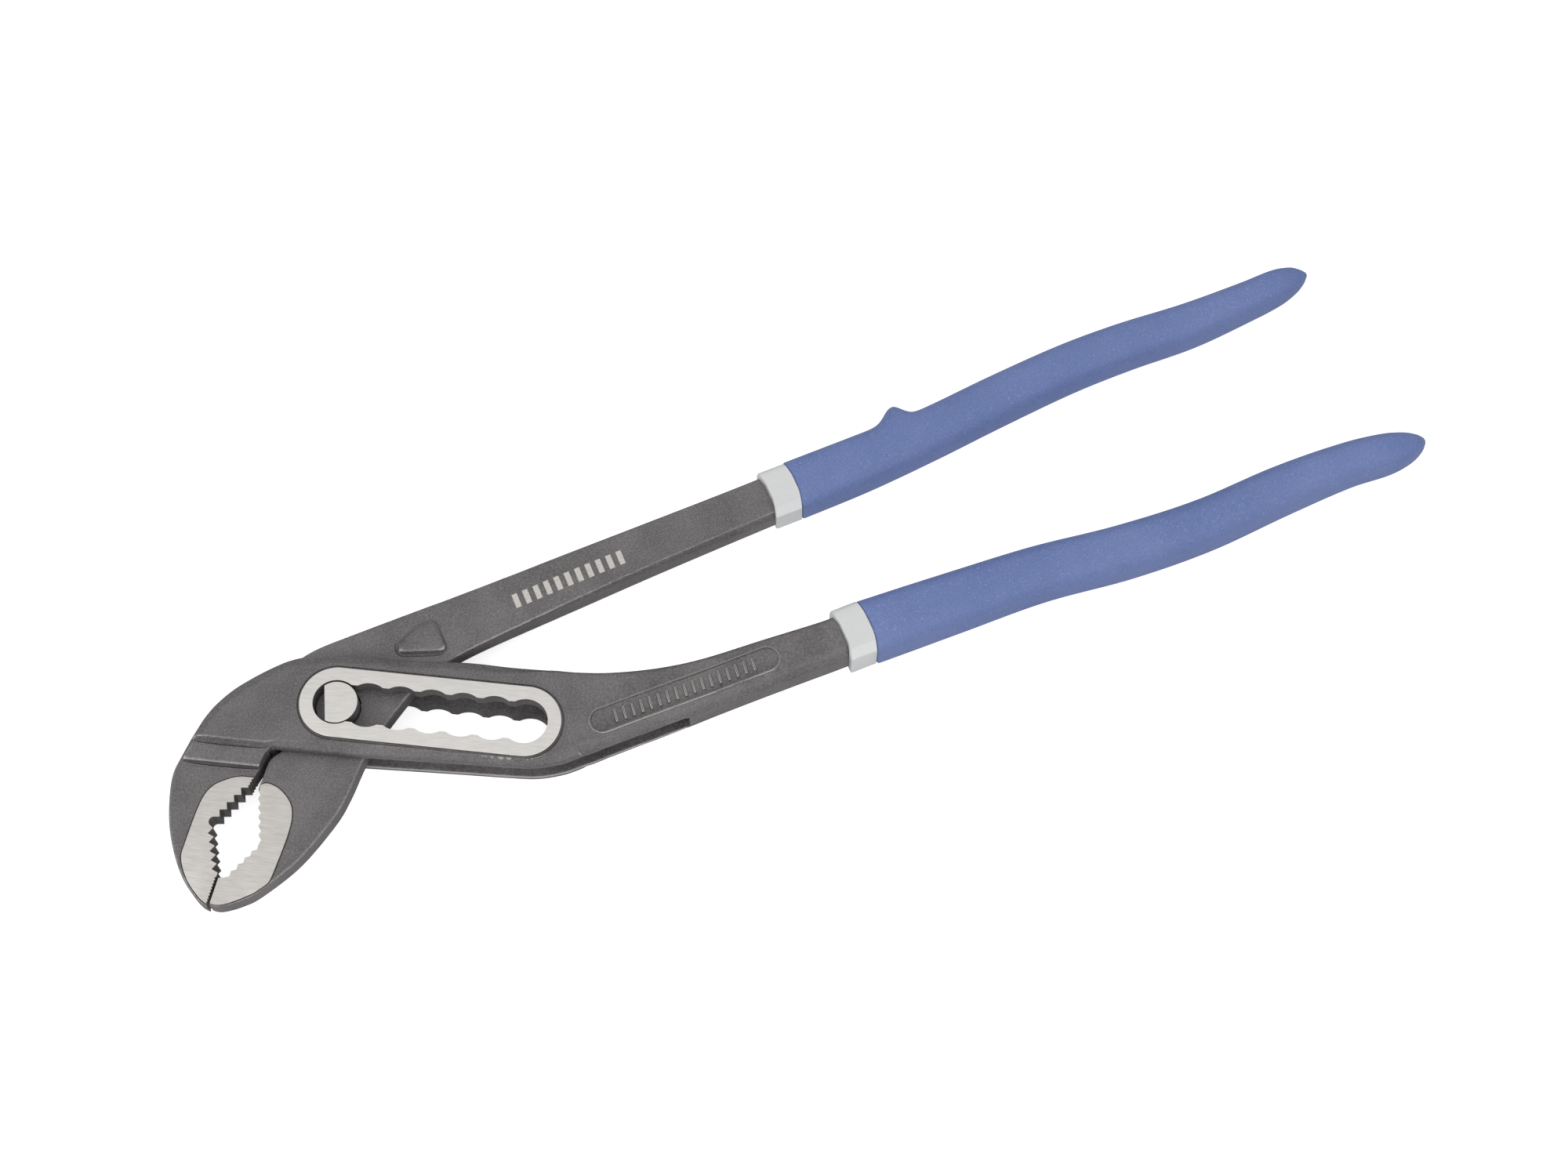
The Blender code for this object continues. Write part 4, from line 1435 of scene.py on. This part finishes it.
        grind(half, [
            (pad_plan, self.pad_half - GRIND_DEPTH, self.pad_half + GRIND_RISE, 1),
            (ring, self.ring_half - 0.15, self.ring_half + 0.1, 2),
        ])
        shade(half)
        mark_exposure(half)
        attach(half, "outer_body")
        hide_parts("outer_half")
        ribs = self.ribs(row_maker, steel)
        shade(ribs)
        mark_exposure(ribs)
        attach(ribs, "outer_body")
        for piece in (half, ribs):
            report(piece)


@dataclass
class InnerHalf:
    """Right jaw, plate that passes through the box, stop boss and upper handle bar."""

    plate_half: float = 2.6
    pad_half: float = 2.8
    boss_top: float = 12.5
    boss_reach: float = 9.2
    foot_groove_radius: float = 0.55
    hole_radius: float = 5.25
    margin: float = 0.4
    tooth: float = 0.65
    bar_edge: float = 0.6
    keep: float = 0.42
    bar: StationTable = StationTable((
        (24.0, 0.5, 15.6, 2.58), (34.0, 1.7, 15.55, 2.58), (45.0, 2.5, 15.4, 2.9),
        (60.0, 3.3, 15.3, 3.4), (80.0, 4.1, 15.3, 3.5), (109.0, 4.9, 15.5, 3.5),
        (116.6, 5.3, 16.0, 3.4), (135.0, 6.6, 15.3, 3.3), (152.0, 7.8, 15.6, 3.3),
        (171.0, 9.7, 17.2, 3.3), (190.0, 11.2, 18.3, 3.3), (205.0, 11.4, 18.1, 3.3),
        (222.0, 10.9, 16.9, 3.2), (238.0, 12.1, 16.6, 3.0), (243.0, 12.6, 16.7, 2.6),
    ))

    def plan(self) -> list[Point]:
        """Outline of the jaw and the plate up to the handle."""
        lower = spline([
            (-41.7, -32.6), (-40.8, -33.4), (-39.0, -34.1), (-35.0, -34.5), (-30.3, -34.0),
            (-20.2, -30.7), (-9.9, -24.7), (-4.7, -20.3), (0.5, -14.7), (4.8, -10.8),
            (9.7, -7.3), (17.4, -2.5), (23.5, 0.0), (30.0, 1.3),
        ])
        upper = spline([
            (30.0, 15.6), (10.0, 15.75), (0.0, 15.6), (-5.5, 14.2), (-9.6, 10.9), (-12.6, 6.5),
            (-13.9, 1.5), (-13.9, -2.5), (-14.9, -4.5), (-17.4, -5.2), (-18.9, -6.1),
            (-20.0, -7.4), (-21.5, -9.3), (-22.75, -10.7), (-23.1, -11.5),
        ])
        return lower + upper + [(-36.0, -18.0), (-44.0, -30.0)]

    def pad(self) -> list[Point]:
        """Ground land along the mouth."""
        return spline([
            (-42.4, -34.1), (-38.0, -33.95), (-34.0, -34.0), (-30.5, -33.75), (-27.8, -32.8),
            (-24.5, -29.2), (-20.5, -24.3), (-18.2, -20.6), (-17.45, -17.3), (-18.4, -13.6),
            (-20.2, -11.2), (-21.8, -10.6), (-23.2, -11.3), (-26.0, -14.0),
        ]) + [(-36.0, -18.0), (-44.0, -30.0)]

    def boss(self) -> list[Point]:
        """Rounded triangle of the stop boss."""
        return [
            (17.25, 8.0), (17.2, 7.3), (17.9, 6.75), (26.3, 3.3), (27.3, 3.3), (27.8, 4.2),
            (27.9, 11.0), (27.5, 11.8), (26.8, 12.2), (24.0, 12.5), (22.6, 12.1), (17.6, 9.1),
        ]

    def boss_blank(self) -> bpy.types.Object:
        """Stop boss on both faces: steep at its foot, its top rising towards the box."""
        foot = counter_clockwise(self.boss())
        rings = []
        for side in (-1.0, 1.0):
            levels = [(0.0, 1.0, 0.0), (0.1, self.plate_half - 0.1, 0.9), (0.35, 2.65, 1.45),
                      (1.3, 2.85, 1.6)]
            for grow, level, rise in levels if side > 0 else levels[::-1]:
                moved = inset(foot, [grow] * len(foot))
                rings.append([
                    (x, y, MIDDLE + side * (level + rise * (self.boss_top - y) / self.boss_reach))
                    for x, y in moved])
        return loft("boss", rings)

    def mouth(self, row_maker: bpy.types.NodeTree) -> list[bpy.types.Object]:
        """Cutters for the mouth and its rows of shallow teeth."""
        plan = [
            (-23.1, -11.5), (-27.1, -23.7), (-36.6, -28.0), (-37.8, -27.6), (-41.6, -32.65),
            (-43.5, -36.0), (-60.0, -36.0), (-60.0, 0.0), (-23.2, -9.4),
        ]
        rows = (
            ToothRow((-23.1, -11.5), (-27.1, -23.7), 6, self.tooth),
            ToothRow((-27.1, -23.7), (-36.6, -28.0), 5, self.tooth),
        )
        cutters = [slab("inner_mouth", plan, -THROUGH, THROUGH)]
        cutters += [row.cutter(f"inner_teeth_{index}", row_maker) for index, row in enumerate(rows)]
        return cutters

    def blank(self) -> bpy.types.Object:
        """The forging before its lands, hole and teeth are cut."""
        rings = []
        for x in np.concatenate([np.linspace(24.0, 110.0, 70), np.linspace(112.0, 243.0, 40)]):
            low, high, half = self.bar.at(x)
            share = min(max((x - 50.0) / 50.0, 0.0), 1.0)
            facet = (0.4 + 0.7 * share, 0.4 + 1.2 * share)
            rings.append(bar_section(x, low, high, half, facet, self.bar_edge))
        half = slab("inner_half_forging", self.plan(), -self.plate_half, self.plate_half, 0.6)
        shape(half, [
            self.boss_blank(),
            loft("inner_bar", rings),
        ], Operation.ADD)
        forge(half, self.keep)
        return half

    def build(self, row_maker: bpy.types.NodeTree, steel: bpy.types.Material,
              ground: bpy.types.Material) -> None:
        """Builds and dresses the half."""
        half = self.blank()
        pad_plan = self.pad()
        edge = counter_clockwise(self.plan())
        edge = inset(edge, [self.margin] * len(edge))
        shape(half, [
            *grooves("pad_groove", pad_plan, self.plate_half, PAD_GROOVE_RADIUS),
            *grooves("boss_foot", spline([
                (17.3, 9.6), (17.0, 7.9), (17.6, 6.6), (20.0, 5.6), (24.0, 4.0), (26.7, 3.1),
            ]), self.plate_half, self.foot_groove_radius, False),
        ], Operation.CUT)
        shape(half, [
            land("pad_upper", pad_plan, edge, LAND_FOOT, self.pad_half),
            land("pad_lower", pad_plan, edge, -self.pad_half, -LAND_FOOT),
        ], Operation.ADD)
        hole_plan = arc((0.0, 0.0), self.hole_radius, 0.0, 357.0, 119)
        hole = slab("hole", hole_plan, -THROUGH, THROUGH)
        shape(half, [hole] + self.mouth(row_maker), Operation.CUT)
        dress(half, [steel, ground])
        grind(half, [(pad_plan, self.pad_half - GRIND_DEPTH, self.pad_half + GRIND_RISE, 1)])
        shade(half)
        mark_exposure(half)
        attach(half, "inner_body")
        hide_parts("inner_half")
        report(half)


@dataclass
class JointPin:
    """Pin that lies in a notch of each wall, with one flat at both of its ends."""

    radius: float = 4.95
    half: float = 6.6
    round_half: float = 2.9
    flat_distance: float = 2.5
    flat_angle: float = 161.5
    edge: float = 0.22

    def build(self, steel: bpy.types.Material, ground: bpy.types.Material) -> None:
        """Builds and dresses the pin."""
        round_plan = arc((0.0, 0.0), self.radius, 0.0, 357.5, 143)
        pin = slab("turned_joint_pin", round_plan, -self.half, self.half, self.edge, 4)
        turn = math.radians(self.flat_angle)
        cosine, sine = math.cos(turn), math.sin(turn)
        plan = [(run * cosine - side * sine, run * sine + side * cosine) for run, side in (
            (self.flat_distance, -8.0), (10.0, -8.0), (10.0, 8.0), (self.flat_distance, 8.0))]
        shape(pin, [slab("upper_flat", plan, self.round_half, THROUGH),
                    slab("lower_flat", plan, -THROUGH, -self.round_half)], Operation.CUT)
        # Only the end faces are ground; the sides and the flats' floors keep the dark steel, which
        # on those floors is partly the pin's own dark finish and partly painted shade of the
        # hollow.
        dress(pin, [steel, ground])
        grind(pin, [(round_plan, self.half - self.edge * 0.8, self.half + 0.1, 1)])
        shade(pin, PIN_SHARP_ANGLE)
        mark_exposure(pin)
        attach(pin, "pin_body")
        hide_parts("joint_pin")
        report(pin)


# Studio


@dataclass(frozen=True)
class Softbox:
    """One soft rectangular light."""

    name: str
    place: Row
    target: Row
    size: Point
    power: float

    def build(self) -> None:
        """Adds the light, aimed at its target."""
        light = bpy.data.lights.new(self.name, "AREA")
        light.shape = "RECTANGLE"
        light.size, light.size_y = self.size
        light.energy = self.power
        lamp = bpy.data.objects.new(self.name, light)
        bpy.context.scene.collection.objects.link(lamp)
        lamp.location = self.place
        aim = Vector(self.target) - Vector(self.place)
        lamp.rotation_euler = aim.to_track_quat("-Z", "Y").to_euler()


@dataclass(frozen=True)
class Studio:
    """Pale floor, soft lights and the camera."""

    eye: Row = (0.0110, -0.2346, 0.5967)
    target: Row = (0.1060, -0.0094, 0.0066)
    lens: float = 63.0
    sensor: float = 36.0
    lights: tuple[Softbox, ...] = (
        Softbox("front_fill", (0.00, -0.80, 0.60), (0.10, 0.0, 0.0), (1.3, 0.30), 2.2),
        Softbox("left_fill", (-0.75, 0.10, 0.50), (0.0, 0.0, 0.0), (0.4, 0.5), 1.2),
    )
    sky: Point = (0.10, 0.94)
    sky_fade: Point = (0.12, 0.6)
    floor_reach: float = 1500.0
    floor_level: float = -0.06
    floor_colour: Colour = (0.80, 0.80, 0.805)
    floor_glow: float = 0.75

    def build_floor(self) -> None:
        """Large pale floor under the tool, with a faint unevenness in its tone."""
        bm = bmesh.new()
        bmesh.ops.create_grid(bm, x_segments=8, y_segments=8, size=self.floor_reach)
        bmesh.ops.translate(bm, vec=(110.0, 0.0, self.floor_level), verts=bm.verts)
        floor = new_piece("studio_floor", bm)
        material, wiring, shader = start_material("pale_floor")
        darker = tuple(value * 0.985 for value in self.floor_colour)
        colour = wiring.blend(wiring.noise(wiring.place(), 3.0, 2.0, 0.5), darker,
                              self.floor_colour)
        shader.inputs["Roughness"].default_value = 0.9
        shader.inputs["Emission Color"].default_value = (1.0, 1.0, 1.0, 1.0)
        seen = wiring.add("ShaderNodeLightPath").outputs["Is Camera Ray"]
        wiring.feed(shader, {
            "Base Color": colour,
            "Emission Strength": wiring.sum("MULTIPLY", seen, self.floor_glow),
        })
        floor.data.materials.append(material)

    def build_camera(self) -> None:
        """Camera that looks down on the tool."""
        data = bpy.data.cameras.new("camera")
        data.lens, data.sensor_width = self.lens, self.sensor
        data.clip_start, data.clip_end = 0.01, 20.0
        camera = bpy.data.objects.new("camera", data)
        bpy.context.scene.collection.objects.link(camera)
        camera.location = self.eye
        aim = Vector(self.target) - Vector(self.eye)
        camera.rotation_euler = aim.to_track_quat("-Z", "Y").to_euler()
        bpy.context.scene.camera = camera

    def build_sky(self) -> None:
        """Soft light from above that fades towards the horizon."""
        world = bpy.data.worlds.new("studio_world")
        world.use_nodes = True
        back = world.node_tree.nodes["Background"]
        back.inputs["Color"].default_value = (1.0, 1.0, 1.0, 1.0)
        wiring = Wiring(world.node_tree)
        way = wiring.add("ShaderNodeSeparateXYZ", {
            0: wiring.add("ShaderNodeTexCoord").outputs["Generated"]})
        wiring.feed(back, {"Strength": wiring.fit(way.outputs[2], *self.sky_fade, *self.sky)})
        bpy.context.scene.world = world

    def build(self) -> None:
        """Builds everything around the object."""
        self.build_floor()
        self.build_camera()
        for light in self.lights:
            light.build()
        self.build_sky()
        bpy.context.scene.view_settings.view_transform = "Standard"
        log.info("studio: %d lights", len(self.lights))


OUTER_HANDLE = Handle(
    side="outer", body="outer_body", collar_front=111.8, collar_back=117.8, collar_low=-35.5,
    collar_high=-22.2, collar_half=5.95, grip_front=118.3, bar_end=248.0,
    bar_front=(-34.05, -23.75, 4.85),
    grip=StationTable((
        (118.3, -36.1, -21.9, 6.3), (141.0, -36.8, -23.3, 6.4), (161.0, -37.5, -24.8, 6.4),
        (182.0, -40.0, -27.7, 6.4), (202.0, -40.8, -29.1, 6.3), (223.0, -39.6, -28.5, 6.2),
        (240.0, -39.0, -29.2, 6.0), (250.0, -39.7, -30.6, 5.6), (255.5, -39.1, -32.2, 4.4),
        (258.6, -37.8, -33.7, 2.6), (260.0, -36.4, -34.8, 1.1),
    )),
)

INNER_HANDLE = Handle(
    side="inner", body="inner_body", collar_front=109.9, collar_back=116.1, collar_low=4.4,
    collar_high=16.7, collar_half=5.15, grip_front=116.6, bar_end=243.0,
    bar_front=(4.95, 15.55, 3.5), guard_peak=146.5, guard_height=3.6,
    grip=StationTable((
        (116.6, 4.1, 17.3, 5.5), (135.0, 4.5, 17.4, 5.6), (152.0, 5.7, 17.7, 5.6),
        (171.0, 7.6, 19.3, 5.6), (190.0, 9.1, 20.4, 5.6), (205.0, 9.3, 20.2, 5.6),
        (222.0, 8.8, 19.0, 5.5), (238.0, 10.0, 18.7, 5.3), (246.5, 11.0, 18.9, 4.8),
        (251.0, 12.3, 18.1, 3.6), (253.4, 13.6, 16.9, 2.0), (254.6, 14.8, 15.9, 0.8),
    )),
)


def main() -> None:
    """Builds every piece of the pliers and the studio around them."""
    logging.basicConfig(level=logging.INFO, format="%(name)s: %(message)s")
    effects = Effects()
    row_maker, notch_maker = row_tree(), notch_tree()
    steel = PhosphatedSteel().material("phosphated_steel", effects)
    marked_steel = PhosphatedSteel().material("phosphated_steel_marked", effects, EtchedBars())
    ground = GroundSteel().material("ground_jaw_steel", effects, Brushing.JAWS)
    bright = GroundSteel((0.58, 0.56, 0.535), (0.84, 0.82, 0.79))
    ring_ground = bright.material("ground_ring_steel", effects, Brushing.RING)
    pin_steel = bright.material("ground_pin_steel", effects, Brushing.PIN)
    grey = DippedPlastic((0.63, 0.645, 0.645), (0.655, 0.67, 0.67), (0.22, 0.26), 1.6, 0.0, 0.4)
    blue = DippedPlastic((0.104, 0.157, 0.365), (0.172, 0.231, 0.472), (0.50, 0.66), 0.42, 0.07)
    grey_dip = grey.material("grey_first_dip_plastic", effects)
    blue_dip = blue.material("blue_second_dip_plastic", effects)
    OuterHalf().build(row_maker, notch_maker, steel, ground, ring_ground)
    InnerHalf().build(row_maker, marked_steel, ground)
    JointPin().build(steel, pin_steel)
    for handle in (OUTER_HANDLE, INNER_HANDLE):
        handle.build(grey_dip, blue_dip)
    Studio().build()


if __name__ == "__main__":
    main()
